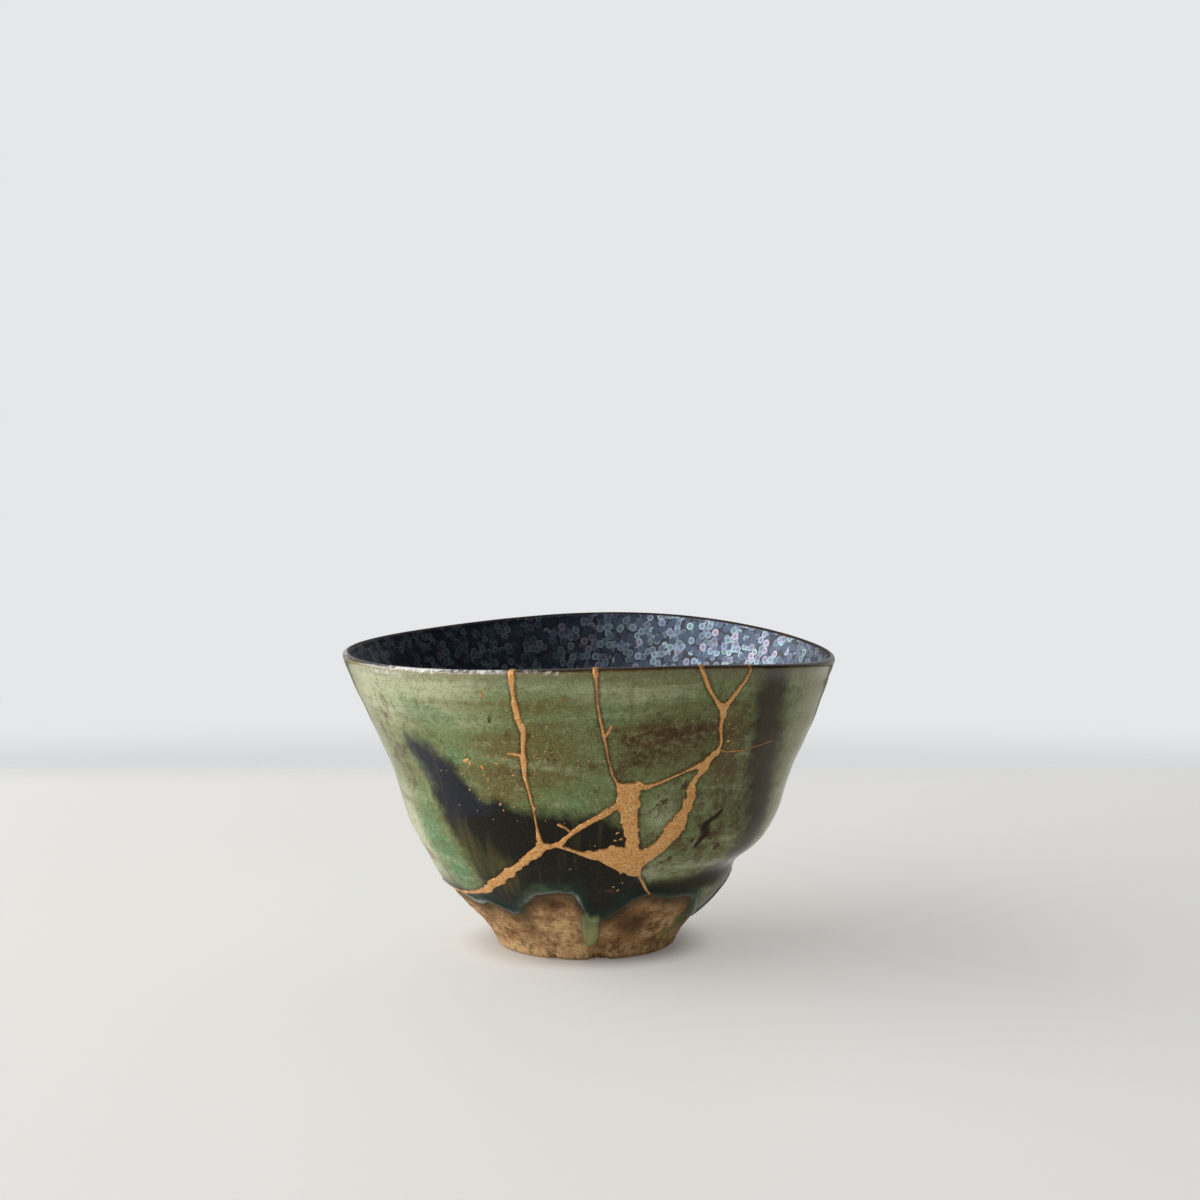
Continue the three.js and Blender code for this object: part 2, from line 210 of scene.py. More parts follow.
def plan_offset(a):
    """Departure of the plan from a circle: waves of two, three and four lobes."""
    wave = SQUARENESS * np.cos(4 * a) - OVAL * np.cos(2 * a) + FRONT_SWELL * np.cos(3 * a)
    return wave - OVAL - SQUARENESS


def lean_offset(h):
    """Sideways lean, easing from foot to belly and from belly to lip."""
    at_belly = FOOT_LEAN + (BELLY_LEAN - FOOT_LEAN) * smooth_step(20, 36, h)
    return at_belly + (RIM_LEAN - at_belly) * smooth_step(55, 72, h)


def dent_depth(a, h):
    """The pinched groove under the belly, front right, and the dimple at the left."""
    degrees = np.degrees(a)
    along = smooth_step(8, 32, degrees) * (1 - smooth_step(65, 115, degrees))
    groove = GROOVE_DEPTH * along * bump(h, GROOVE_HEIGHT, GROOVE_HALF_HEIGHT)
    dimple = bump(degrees, DIMPLE_AZIMUTH, 6) * bump(h, DIMPLE_HEIGHT, GROOVE_HALF_HEIGHT)
    return groove + DIMPLE_DEPTH * dimple


def frame_shift():
    """Moves the drawn bowl to the frame: its right and back edges meet the frame's."""
    high = np.array(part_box("bowl_body")[1]) / MM
    right = RIM_RADIUS + RIM_LEAN
    back = RIM_RADIUS + plan_offset(math.pi)
    return np.array([high[0] - right, high[1] - back, 0.0])


SHIFT = frame_shift()
FOOT_PLACE = ((SHIFT[0] + FOOT_LEAN) * MM, SHIFT[1] * MM)


def bowl_points(a, r, h, outside):
    """Places section points: radius r plus lean and plan waves, at azimuth a, and height
    h stretched to the lip. The waves fade out towards the axis."""
    fade = np.minimum(1, r / PLAN_FADE_RADIUS)
    wander = lean_offset(h) * np.sin(a) + plan_offset(a) * smooth_step(10, 70, h)
    radius = r + fade * wander - np.where(outside, dent_depth(a, h), 0)
    z = h * rim_height(a) / SECTION_HEIGHT
    return np.stack([radius * np.sin(a), -radius * np.cos(a), z], -1) + SHIFT


# ------------------------------------------------------------------ noise and distances

FAR = 1e3               # mm, further than any distance on the wall
TINY = 1e-9
SEAM_WEB = 0.5          # reach of the web of gold where two seams meet


def lattice_noise(points, size, seed):
    """Value noise from 0 to 1: random numbers on a cubic lattice of the given size in mm,
    blended between the eight corners with smooth steps."""
    p = np.asarray(points, float) / size + 1000.0
    cell = np.floor(p).astype(np.int64)
    t = p - cell
    t = t * t * (3 - 2 * t)
    total = 0.0
    for corner in range(8):
        step = np.array([corner & 1, corner >> 1 & 1, corner >> 2 & 1])
        c = cell + step
        mixed = c[..., 0] * 73856093 ^ c[..., 1] * 19349663 ^ c[..., 2] * 83492791 ^ seed * 7919
        mixed = (mixed ^ (mixed >> 13)) * 1274126177 & 0x7FFFFFFF
        value = ((mixed ^ (mixed >> 16)) & 0xFFFF) / 65535.0
        weight = np.prod(np.where(step == 1, t, 1 - t), -1)
        total = total + weight * value
    return total


def layered_noise(points, size, seed, layers=3):
    """Sums lattice noise at halving sizes and strengths, back to 0 to 1."""
    total, strength = 0.0, 0.5
    for layer in range(layers):
        total = total + strength * lattice_noise(points, size / 2 ** layer, seed + layer)
        strength /= 2
    return total / (1 - 0.5 ** layers)


def run_outline(run):
    """Outline of a run in azimuth and height: half a width to either side of each point,
    square to the run's direction on the wall."""
    run = np.array(run, float)
    degree = np.radians(1) * outer_radius(run[:, 1])
    ahead = np.vstack([run[1:], run[-1:]])[:, :2]
    behind = np.vstack([run[:1], run[:-1]])[:, :2]
    way = (ahead - behind) * np.stack([degree, np.ones(len(run))], -1)
    way /= np.linalg.norm(way, axis=1, keepdims=True)
    half = run[:, 2:] / 2
    side = np.stack([-way[:, 1] / degree, way[:, 0]], -1) * half
    return np.vstack([run[:, :2] - side, (run[:, :2] + side)[::-1]])


def segment_distance(x, y, start, stop):
    """Distance of points from the segment between two others, and the share of the way
    along it that is nearest."""
    dx, dy = stop[0] - start[0], stop[1] - start[1]
    share = ((x - start[0]) * dx + (y - start[1]) * dy) / np.maximum(dx * dx + dy * dy, TINY)
    share = np.clip(share, 0, 1)
    return np.hypot(x - start[0] - share * dx, y - start[1] - share * dy), share


def outline_distance(a, z, outline):
    """Signed distance in mm on the wall from an outline of (azimuth, height) corners,
    negative inside: the nearest edge, with the sign from an even-odd crossing count."""
    corners = np.array(outline, float)[:, :2]
    scale = np.radians(1) * outer_radius(z)
    x = np.degrees(a) * scale
    nearest = np.full(x.shape, FAR)
    inside = np.zeros(x.shape, bool)
    for (a0, z0), (a1, z1) in zip(corners, np.roll(corners, -1, 0)):
        away, _ = segment_distance(x, z, (a0 * scale, z0), (a1 * scale, z1))
        nearest = np.minimum(nearest, away)
        if z0 != z1:
            crosses = (z0 > z) != (z1 > z)
            inside ^= crosses & (x < a0 * scale + (z - z0) * (a1 - a0) * scale / (z1 - z0))
    return np.where(inside, -nearest, nearest)


def line_distance(a, z, run):
    """Distance in mm on the wall from a line of (azimuth, height, width) points, less half
    the line's own width."""
    scale = np.radians(1) * outer_radius(z)
    x = np.degrees(a) * scale
    nearest = np.full(x.shape, FAR)
    for (a0, z0, width0), (a1, z1, width1) in zip(run[:-1], run[1:]):
        away, share = segment_distance(x, z, (a0 * scale, z0), (a1 * scale, z1))
        nearest = np.minimum(nearest, away - (width0 + share * (width1 - width0)) / 2)
    return nearest


def blend_minimum(first, second, reach):
    """The smaller of two distances, with a rounded web of the given reach between."""
    mix = np.clip(0.5 + 0.5 * (second - first) / reach, 0, 1)
    return second + (first - second) * mix - reach * mix * (1 - mix)


def seam_distance(a, z):
    """Signed distance in mm on the wall from the seams' outlines, negative inside, with
    small webs of gold where two seams meet."""
    total = np.full(np.shape(a), FAR)
    for run in SEAMS.values():
        total = blend_minimum(total, outline_distance(a, z, run_outline(run)), SEAM_WEB)
    return total


# ------------------------------------------------------------------ where each glaze lies
# Places on the wall are (azimuth in degrees, height in mm).

# Lower edge of the glaze once round the foot, with its scallops.
GLAZE_EDGE = [
    (-180, 17), (-165, 15.5), (-150, 18), (-138, 15), (-125, 17.5), (-112, 19), (-100, 16.5),
    (-88, 15), (-75, 17), (-66, 16.5), (-60, 16), (-55, 15), (-50, 14), (-45, 15.2), (-41, 15.2),
    (-37, 14), (-32, 13), (-28, 14), (-24, 17), (-20, 19), (-15, 20), (-10, 20.5), (-5.5, 20),
    (-3.6, 18), (-1.6, 15), (0.6, 12.6), (4, 12), (8, 13), (12, 14.5), (16, 17), (20, 18.5),
    (24, 19), (30, 18), (36, 17), (44, 17), (48, 16), (52, 12.5), (56, 10), (61, 9), (66, 11),
    (72, 14.5), (85, 18), (98, 16), (112, 14.5), (128, 18.5), (142, 16), (158, 19), (170, 15.5),
    (180, 17),
]
# Bands with soft borders: outlines and runs.
NIGHT_FLOW = [
    (-56, 57.5), (-51, 56.5), (-45, 54.5), (-38.5, 51.5), (-36, 47.5), (-32, 44), (-25, 44),
    (-19, 42.5), (-10, 42), (-3, 40.5), (5, 41), (9, 38), (14, 34), (17.5, 31), (18, 25.5),
    (22, 21.5), (27, 19.5), (20, 16), (8, 11.5), (2, 10.5), (-2, 13), (-4.5, 19), (-8, 20.8),
    (-13, 21.5), (-20, 20.6), (-25, 16), (-29, 10), (-40, 11), (-50, 13), (-53, 16.4),
    (-45, 18.4), (-41, 22), (-43, 30), (-46, 34), (-50, 40), (-52, 47), (-56, 54),
]
DARK_RUN = [
    (46.5, 84, 8), (48.5, 72, 9.5), (50.5, 65, 11), (53, 59, 11.5), (57, 50, 12), (60, 42, 12),
    (61.5, 32, 10), (60, 24, 8),
]
GROOVE_POOL = [
    (19, 20.5, 3.4), (28, 20.3, 4.2), (40, 20.2, 4.6), (52, 20.5, 4.5), (64, 21, 5), (80, 22, 5),
    (100, 22, 3),
]
IRON_PATCH = [
    (7, 55), (8, 61), (10, 65), (15, 67), (24, 66), (33, 65), (35.5, 61), (33, 54.5), (22, 52),
    (14, 51.5), (9, 52),
]
DRIP = [
    (-2.6, 15.5), (-3.6, 13), (-3.8, 9.4), (-3.5, 6.4), (-2, 4.5), (1, 3.7), (4, 4.1), (6, 5.7),
    (6.5, 8.3), (6.1, 10.7), (6.3, 12.4), (5.0, 14.6), (1.5, 14),
]
SCAR = [
    (35.2, 31.8, 0.8), (36.6, 33.4, 1.6), (37.7, 35, 1.9), (36.4, 36.3, 1.6), (37, 37.3, 1.3),
    (39, 38.4, 1.0), (41.2, 39.2, 0.9), (42.8, 40.5, 0.4),
]

# Clouds with no border: (azimuth, height, half width in degrees, half height, strength).
CLOUDS = {
    "teal": [
        (-50, 66, 9, 5, 0.5), (-35, 63, 10, 4, 0.45), (-58, 34, 8, 9, 0.8), (-50, 24, 6, 6, 1.0),
        (-18, 22, 8, 2.4, 0.6), (-8, 22.6, 5, 2.2, 0.65), (5, 63, 4, 9, 0.5),
        (-38, 54, 4, 3, 0.7), (-4, 43.6, 7, 3, 0.5), (20, 70, 14, 3, 0.3), (150, 58, 26, 9, 0.6),
        (-140, 40, 18, 9, 0.6),
    ],
    "pale": [
        (-70, 31, 10, 14, 1.0), (-64, 66, 13, 9, 0.8), (-46, 71.5, 12, 4, 0.7),
        (23, 26.5, 5, 4, 0.7), (22, 41, 5, 6, 0.7), (36, 27, 6, 4, 0.3), (34, 43, 6, 4, 0.5),
        (12, 71, 12, 3.5, 0.5), (-42, 74, 28, 5, 0.5), (5, 73, 28, 3, 0.3),
        (-40, 66, 16, 5, 0.4), (70, 62, 12, 12, 0.5), (76, 36, 10, 10, 0.6),
        (120, 64, 22, 8, 0.6), (-120, 60, 20, 10, 0.7), (180, 34, 24, 10, 0.5),
    ],
    "olive": [
        (-22, 57, 12, 6, 0.9), (-26, 47.5, 9, 4, 1.0), (-9, 54, 8, 6, 0.9), (-12, 64, 8, 6, 0.5),
        (20, 60, 16, 9, 0.6), (40, 62, 6, 9, 0.7), (40, 48, 8, 6, 0.5), (46, 34, 8, 8, 0.5),
        (150, 44, 20, 8, 0.7), (-160, 64, 20, 8, 0.6), (95, 44, 12, 9, 0.6), (47, 26, 8, 4, 0.8),
        (66, 14, 12, 6, 1.0),
    ],
    # White breaks under the lip: partly glaze breaks, partly a painted highlight on the lip's
    # shoulder.
    "milk": [
        (-46, 76.3, 16, 1.5, 1.0), (-24, 76.8, 8, 1.0, 0.7), (-8, 77, 8, 0.9, 0.5),
        (20, 76.8, 14, 0.8, 0.4), (-54, 73.6, 10, 1.0, 0.6), (-90, 75, 18, 1.4, 0.8),
        (160, 77, 30, 1.0, 0.5),
    ],
    "navy": [
        (-53, 54.5, 8, 6, 0.9), (-45, 48, 8, 7, 0.9), (-34, 42, 10, 4, 0.8),
        (-44, 38, 5, 6, 0.5), (47, 70, 5, 9, 0.4), (-1, 36.5, 8, 3, 0.4),
    ],
    "streak": [
        (-39, 28, 7, 8, 1.0), (-30, 24, 6, 7, 0.8), (-44, 34, 5, 8, 0.6), (-24, 27, 5, 4, 0.5),
    ],
    "loam": [
        (66, 17, 12, 5, 0.9), (38, 46, 14, 10, 0.65), (30, 33, 16, 6, 0.6), (46, 38, 6, 12, 0.5),
        (6, 53, 8, 5, 0.6), (16, 58, 12, 6, 0.45), (-64, 53, 6, 6, 1.0), (-62, 45, 5, 5, 0.6),
        (-63, 65, 4, 5, 0.6), (40, 60, 10, 8, 0.8), (28, 26, 10, 3, 0.3), (-18, 61, 8, 3, 0.4),
        (-20, 52, 9, 4, 0.6), (85, 50, 14, 12, 0.6), (150, 40, 30, 12, 0.6),
        (-150, 56, 30, 9, 0.5),
    ],
    "wash": [(57, 9, 9, 4.5, 1.0), (50, 5, 6, 2, 0.5)],
    "soot": [
        (22, 10.5, 9, 4, 0.9), (-14, 17, 7, 2.4, 0.7), (10, 14, 7, 2, 0.6), (-30, 8, 8, 3, 0.4),
    ],
    # Painted sheen: a pale reflection laid along the bowl's left and right outline.
    "haze": [(76, 58, 12, 22, 1.0), (74, 36, 8, 6, 0.4), (-84, 56, 14, 20, 0.6)],
    "ochre": [
        (-40, 1.6, 45, 2.2, 1.0), (35, 1.6, 40, 1.8, 0.8), (-13, 9, 14, 6, 0.9),
        (-48, 9, 18, 5, 0.5), (30, 11, 14, 3, 0.35), (160, 6, 40, 4, 0.5),
    ],
    "rust": [
        (-72, 25.5, 8, 2.2, 1.0), (8, 20.8, 5, 0.9, 0.4), (-5, 70.5, 2.6, 1.5, 0.45),
        (39, 58, 1.6, 1.0, 0.6),
    ],
    "blotch": [
        (37, 36.6, 2.4, 1.9, 1.0), (44, 31, 1.9, 1.4, 0.9), (27, 29, 1.6, 1.1, 0.9),
        (28, 34.4, 1.4, 1.1, 0.8), (33.5, 33.4, 1.6, 0.9, 0.8), (21.5, 44, 2.1, 1.5, 0.9),
        (28.5, 48, 2.2, 1.4, 1.0), (19, 42.6, 1.3, 1.0, 0.7), (24, 27.6, 1.3, 0.8, 0.7),
        (-24.4, 64.6, 0.9, 1.0, 1.0), (-14.4, 61.2, 0.8, 1.1, 0.9), (7, 62.6, 0.9, 1.0, 0.7),
        (-33.5, 54, 1.6, 1.2, 0.7), (12, 60, 4, 2.4, 0.8), (22, 61.5, 4.5, 2, 0.9),
        (30, 62, 3, 1.8, 0.7), (13, 55.5, 3, 1.8, 0.7), (-9, 56, 3, 2, 0.6),
        (-20, 70, 1, 0.8, 0.5), (40, 34, 3, 1.5, 0.7), (36, 30.6, 2, 1.0, 0.7),
        (47, 36, 2, 2, 0.5),
    ],
}

# Where thick glaze went milky blue along its lower edge.
FROST = [
    (-52, 15, 9, 3, 1.0), (-34, 13.5, 6, 2, 0.5), (-21, 18, 6, 2.5, 0.45), (-11, 20, 8, 2, 0.45),
    (-4, 16, 2.2, 4, 0.8), (2, 12.5, 3, 1.5, 0.4), (-130, 17, 30, 3, 0.6), (150, 17, 30, 3, 0.6),
]

FOOT_CHIPS = [(-22.4, 1.8, 1.4, 0.9), (7, 3.8, 3.0, 1.6)]   # azimuth, width, height, depth


def turn_degrees(a):
    """Azimuth in degrees, from -180 up to 180."""
    return (np.degrees(a) + 180) % 360 - 180


def edge_table():
    """The glaze's lower edge every quarter degree: straight between its points, then
    blurred over about 1.5 degrees, with its slope against arc length."""
    turn = np.arange(-180, 180, 0.25)
    edge = np.array(GLAZE_EDGE, float)
    z = np.interp(turn, edge[:, 0], edge[:, 1])
    kernel = np.exp(-np.linspace(-2, 2, 17) ** 2)
    z = np.convolve(np.r_[z[-8:], z, z[:8]], kernel / kernel.sum(), "valid")
    slope = np.gradient(z) / (np.radians(0.25) * outer_radius(z))
    return turn, z, slope


EDGE_TURN, EDGE_Z, EDGE_SLOPE = edge_table()


def glaze_distance(a, z, points):
    """Distance in mm above the glaze's lower edge: the height over it, divided by the
    square root of 1 plus its slope squared, roughened by 2.5 mm noise."""
    turn = turn_degrees(a)
    over = z - np.interp(turn, EDGE_TURN, EDGE_Z, period=360)
    slope = np.interp(turn, EDGE_TURN, EDGE_SLOPE, period=360)
    return over / np.sqrt(1 + slope ** 2) + 0.7 * (layered_noise(points, 2.6, 31, 2) - 0.5)


def cloud(a, z, spots):
    """Sum of bell-shaped spots, each its strength times e to the minus squared distance."""
    turn, total = turn_degrees(a), 0
    for azimuth, height, half_turn, half_height, strength in spots:
        away = (turn - azimuth + 180) % 360 - 180
        spot = np.exp(-(away / half_turn) ** 2 - ((z - height) / half_height) ** 2)
        total = total + strength * spot
    return np.minimum(total, 1)


def glaze_marks(a, z, points):
    """Values the glaze materials read at each point: distances in mm that are positive
    inside a zone, and clouds from 0 to 1."""
    wander = 3.2 * (layered_noise(points, 7, 5) - 0.5)
    marks = {
        "glaze_edge": glaze_distance(a, z, points),
        "night": wander - outline_distance(a, z, NIGHT_FLOW),
        "dark_run": 0.8 * wander - line_distance(a, z, DARK_RUN),
        "groove_pool": 0.5 * wander - line_distance(a, z, GROOVE_POOL),
        "iron_patch": wander - outline_distance(a, z, IRON_PATCH),
        "drip": -outline_distance(a, z, DRIP) + 0.1 * wander,
        "scar": -line_distance(a, z, SCAR),
        "mend": -seam_distance(a, z),
    }
    for name in ("night", "dark_run", "groove_pool", "iron_patch", "mend"):
        marks[name] = np.clip(marks[name], -8, 8)
    for name, spots in CLOUDS.items():
        marks[name] = cloud(a, z, spots)
    marks["frost"] = cloud(a, z, FROST) * bump(marks["glaze_edge"], 0.35, 0.9)
    return marks


# ------------------------------------------------------------------ the skin of the pot

RIDGE_SPACING, TURNING_SPACING, INNER_RING_SPACING = 7.5, 2.7, 9.0
CLAY_TOOTH_SIZE = 3.4   # grain of the bare clay
DRIP_SHOULDER = 2.4     # how far in from its edge the drip goes on rising
SCAR_DEPTH, CREASE_DEPTH, CREASE_HEIGHT = 0.35, 0.12, 69.6
OUTSIDE, INSIDE, BROKEN = 0, 1, 2       # kinds of face, in the order of the finishes


def outer_relief(a, h, points, sizes):
    """Height in mm of the outer skin over the drawn bowl: a slow unevenness, the thrown
    ridges, the glaze's thickness with a rolled lower edge, the drip's dome and the turned
    clay below the glaze, less the scar's groove and the crease under the lip."""
    z = points[..., 2]
    uneven = sizes.unevenness / MM * (layered_noise(points, 24, 11) - 1)
    phase = z / RIDGE_SPACING + 0.35 * layered_noise(points, 40, 12, 2)
    ridges = sizes.throwing_ridges / MM * (np.cos(2 * np.pi * phase) - 1) / 2
    above = glaze_distance(a, z, points)
    film = sizes.glaze_thickness / MM
    thin_up = 1 - smooth_step(24, 46, z)
    coat = film * smooth_step(-0.1, 0.5, above) * thin_up
    roll = 0.9 * film * bump(above, 0.9, 0.8) * smooth_step(-0.1, 0.4, above)
    inside = np.clip(-outline_distance(a, z, DRIP) / DRIP_SHOULDER, 0, 1)
    dome = sizes.drip_thickness / MM * np.sqrt(1 - (1 - inside) ** 2)
    clay = 1 - smooth_step(-0.4, 0.2, above)
    tooth = layered_noise(points, CLAY_TOOTH_SIZE, 14) - 1
    turned = 0.05 * (np.cos(2 * np.pi * z / TURNING_SPACING) - 1) + 0.35 * tooth
    turned = turned * clay * smooth_step(FOOT_CHAMFER, 2.2, z)
    cut = SCAR_DEPTH * smooth_step(0.3, -0.3, line_distance(a, z, SCAR))
    crease = CREASE_DEPTH * bump(h, CREASE_HEIGHT, 0.7) * smooth_step(8, 40, turn_degrees(a))
    bare = 1 - smooth_step(-0.2, 0.2, above) * (inside <= 0)
    total = uneven + ridges + coat + roll + turned * (1 - smooth_step(0, 0.2, inside))
    return total + dome * bare - cut - crease - SKIN_INSET


def inner_relief(points):
    """Height in mm of the inner skin: a slow unevenness and shallow thrown rings."""
    turns = 2 * np.pi * points[..., 2] / INNER_RING_SPACING
    wave = np.cos(turns + 2 * layered_noise(points, 30, 21, 2))
    return 0.25 * (layered_noise(points, 20, 22) - 1) + 0.05 * (wave - 1) - SKIN_INSET


def chip_foot(points):
    """Presses the foot's chips in: each moves points inwards and up by its depth and
    height, times the root of 1 minus the squared distance in chip sizes."""
    moved = points.copy()
    for azimuth, width, height, depth in FOOT_CHIPS:
        a = math.radians(azimuth)
        centre = bowl_points(np.array(a), np.array(FOOT_RADIUS), np.array(0.0), True)
        away = (points - centre) / np.array([width * 0.75, width * 0.75, height * 1.1])
        mask = np.sqrt(np.clip(1 - (away ** 2).sum(-1), 0, 1))[..., None]
        inward = np.array([-math.sin(a) * depth, math.cos(a) * depth, height * 0.45])
        moved += mask * inward
    return moved


def skin(a, h, outside, sizes, extra=0.0):
    """Points of the pot's skin. The drawn surface is moved along its unit normal, the
    cross product of its slopes in azimuth and height, by the relief plus extra."""
    radius = outer_radius if outside else inner_radius
    drawn = bowl_points(a, radius(h), h, outside)
    step_a, step_h = 0.002, 0.12
    along = bowl_points(a + step_a, radius(h), h, outside) - drawn
    up = drawn - bowl_points(a, radius(h - step_h), h - step_h, outside)
    normal = np.cross(along, up) * (1 if outside else -1)
    normal /= np.maximum(np.linalg.norm(normal, axis=-1, keepdims=True), 1e-12)
    relief = outer_relief(a, h, drawn, sizes) if outside else inner_relief(drawn)
    return drawn + normal * (relief + extra)[..., None], relief


LIP_CENTRE = RIM_RADIUS - LIP_THICKNESS / 2
LIP_HEIGHT = SECTION_HEIGHT - LIP_THICKNESS / 2
LIP_STEPS = 11
QUARTER_LIP = math.pi * LIP_THICKNESS / 4


def lip_rings(a, outer_top, inner_top, extra=0.0):
    """Rings over the lip: half a turn about its centre, at the lip's radius plus a relief
    that goes evenly from the outside's to the inside's. Returns the points and the cosines
    of their turns."""
    turn = np.linspace(0, math.pi, LIP_STEPS)[1:-1, None]
    share = turn / math.pi
    radius = LIP_THICKNESS / 2 + outer_top * (1 - share) + inner_top * share + extra
    a = np.broadcast_to(a, radius.shape)
    h = LIP_HEIGHT + radius * np.sin(turn)
    return bowl_points(a, LIP_CENTRE + radius * np.cos(turn), h, False), np.cos(turn) + 0 * a


def evenly(curve, spacing):
    """Points along a curve at equal arc lengths, about spacing apart."""
    length = np.r_[0, np.cumsum(np.hypot(*np.diff(curve, axis=0).T))]
    at = np.linspace(0, length[-1], max(2, int(round(length[-1] / spacing)) + 1))
    return np.stack([np.interp(at, length, curve[:, k]) for k in range(2)], -1)


def heights_between(low, high, spacing):
    """Section heights from low to high, spacing apart along the outer curve."""
    keep = (OUTER_CURVE[:, 1] > low) & (OUTER_CURVE[:, 1] < high)
    ends = [(outer_radius(v), v) for v in (low, high)]
    curve = np.vstack([ends[:1], OUTER_CURVE[keep], ends[1:]])
    return evenly(curve, spacing)[:, 1]


def wall_faces(first, rows, columns, lip, keep, closed_ring, open_below=False):
    """Faces of a slab of wall whose kept cells are given: outer cells, lip cells, inner
    cells, and walls through the clay where a kept cell meets one that isn't. Ring numbers
    go up the outside from first, over the lip and down the inside. Returns quads, their
    kind and the lip's end caps."""
    top = first + rows - 1
    inner_top = top + lip + 1

    def at(ring, column):
        return ring * columns + (column % columns if closed_ring else column)

    def mirror(ring):
        return inner_top + top - ring

    def quads(low, high, i):
        return np.stack([at(low, i), at(low, i + 1), at(high, i + 1), at(high, i)], -1)

    k, i = np.nonzero(keep)
    k = k + first
    sheets = [quads(k, k + 1, i), quads(mirror(k + 1), mirror(k), i)]
    kinds = [np.full(len(k), OUTSIDE), np.full(len(k), INSIDE)]
    over = np.nonzero(keep[-1])[0]
    for ring in range(top, inner_top):
        sheets.append(quads(ring, ring + 1, over))
        kinds.append(np.full(len(over), INSIDE if ring - top > lip / 2 else OUTSIDE))

    beside = np.pad(keep, ((0, 0), (1, 1)), "wrap" if closed_ring else "constant")
    left, right = beside[:, :-2], beside[:, 2:]
    below = np.vstack([np.full((1, keep.shape[1]), open_below), keep[:-1]])
    above = np.vstack([keep[1:], keep[-1:]])
    for side, shift in ((right, 1), (left, 0)):
        k, i = np.nonzero(keep & ~side)
        k = k + first
        wall = [at(k + 1, i + shift), at(k, i + shift),
                at(mirror(k), i + shift), at(mirror(k + 1), i + shift)]
        sheets.append(np.stack(wall if shift else wall[::-1], -1))
        kinds.append(np.full(len(k), BROKEN))
    for side, shift in ((below, 0), (above, 1)):
        k, i = np.nonzero(keep & ~side)
        k = k + first + shift
        wall = [at(k, i), at(k, i + 1), at(mirror(k), i + 1), at(mirror(k), i)]
        sheets.append(np.stack(wall if shift else wall[::-1], -1))
        kinds.append(np.full(len(k), BROKEN))

    rings = np.arange(top, inner_top + 1)
    ends = np.nonzero(keep[-1] & ~right[-1])[0] + 1
    starts = np.nonzero(keep[-1] & ~left[-1])[0]
    caps = [at(rings[::-1], column) for column in ends] + [at(rings, column) for column in starts]
    return np.vstack(sheets), np.concatenate(kinds), caps


def without_corner_touches(keep):
    """Drops cells until no two kept ones meet only at a corner."""
    keep = keep.copy()
    for _ in range(6):
        a, b = keep[:-1], keep[1:]
        a_right, b_right = np.roll(a, -1, 1), np.roll(b, -1, 1)
        rising = a & b_right & ~a_right & ~b
        falling = a_right & b & ~a & ~b_right
        if not (rising.any() or falling.any()):
            break
        keep[:-1][rising] = False
        keep[1:][falling] = False
    return keep


def make_piece(name, points, quads, kinds, polygons, values, materials, node=None):
    """Puts a piece into the scene: unused points are dropped, quads and then polygons
    become faces, broken edges stay flat and the rest is smooth. Points are in mm. Polygons
    whose kinds aren't given are broken edges."""
    used = np.unique(np.concatenate([quads.ravel()] + [np.ravel(p) for p in polygons]))
    number = np.full(len(points), -1)
    number[used] = np.arange(len(used))
    corners = np.concatenate([number[quads].ravel()] + [number[np.ravel(p)] for p in polygons])
    sizes = np.r_[np.full(len(quads), 4), [len(p) for p in polygons]].astype(int)
    kinds = np.r_[kinds, np.full(len(polygons), BROKEN)].astype(int)[:len(sizes)]

    mesh = bpy.data.meshes.new(name)
    mesh.vertices.add(len(used))
    mesh.vertices.foreach_set("co", (points[used] * MM).astype(np.float32).ravel())
    mesh.loops.add(len(corners))
    mesh.loops.foreach_set("vertex_index", corners.astype(np.int32))
    mesh.polygons.add(len(sizes))
    mesh.polygons.foreach_set("loop_start", (np.cumsum(sizes) - sizes).astype(np.int32))
    mesh.polygons.foreach_set(
        "material_index", np.minimum(kinds, len(materials) - 1).astype(np.int32))
    mesh.polygons.foreach_set("use_smooth", kinds != BROKEN)
    for key, value in values.items():
        kind, field = ("FLOAT_VECTOR", "vector") if value.ndim == 2 else ("FLOAT", "value")
        layer = mesh.attributes.new(key, kind, "POINT")
        layer.data.foreach_set(field, value[used].astype(np.float32).ravel())
    for material in materials:
        mesh.materials.append(material)
    mesh.update(calc_edges=True)
    mesh.validate()
    piece = bpy.data.objects.new(name, mesh)
    bpy.context.collection.objects.link(piece)
    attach(piece, "root")
    if node:
        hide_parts(node)
    return piece


def remove_piece(name):
    """Deletes an earlier piece of this name, so that an operator can be run again."""
    piece = bpy.data.objects.get(name)
    if piece:
        bpy.data.objects.remove(piece)


# ------------------------------------------------------------------ the pot as one grid

UNDER_POINTS = [
    (0, 5.2), (6, 5.15), (11.5, 5.02), (13.9, 4.7), (15.1, 3.7), (15.6, 2.2), (15.95, 0.8),
    (16.6, 0.15), (17.6, 0), (19.4, 0), (21.2, 0), (22.2, 0.1), (22.7, 0.32),
    (FOOT_RADIUS, FOOT_CHAMFER),
]
MATCHED_FROM = 17.5     # outer rings from this height up face an inner ring of their own
LOWEST_SHERD = 24       # below this height every wall cell is the body's
MEND_END = 112          # degrees round to the left where the mend ends
MEND_CORE = 0.7         # wall cells this deep inside the seams' outlines are left out
SNAP_REACH = 0.62       # border points this near a seam's centre line are moved onto it
CHIPPED_RINGS = 12      # rings of the wall that the foot's chips can reach
POLE_DIP = 0.3          # the floor's middle lies this far under the drawn one
RING_RADIUS = 50        # radius of the ring that the patterns along the wall go round
SHERDS = list(SHERD_OUTLINES)
GRIDS = {}


def pot_columns():
    """Azimuths once round: close together in front, wider at the sides and behind."""
    parts = [(-110, -76, 34), (-76, 76, 212), (76, 110, 34), (110, 250, 93)]
    return np.radians(np.concatenate([np.linspace(*part, endpoint=False) for part in parts]))


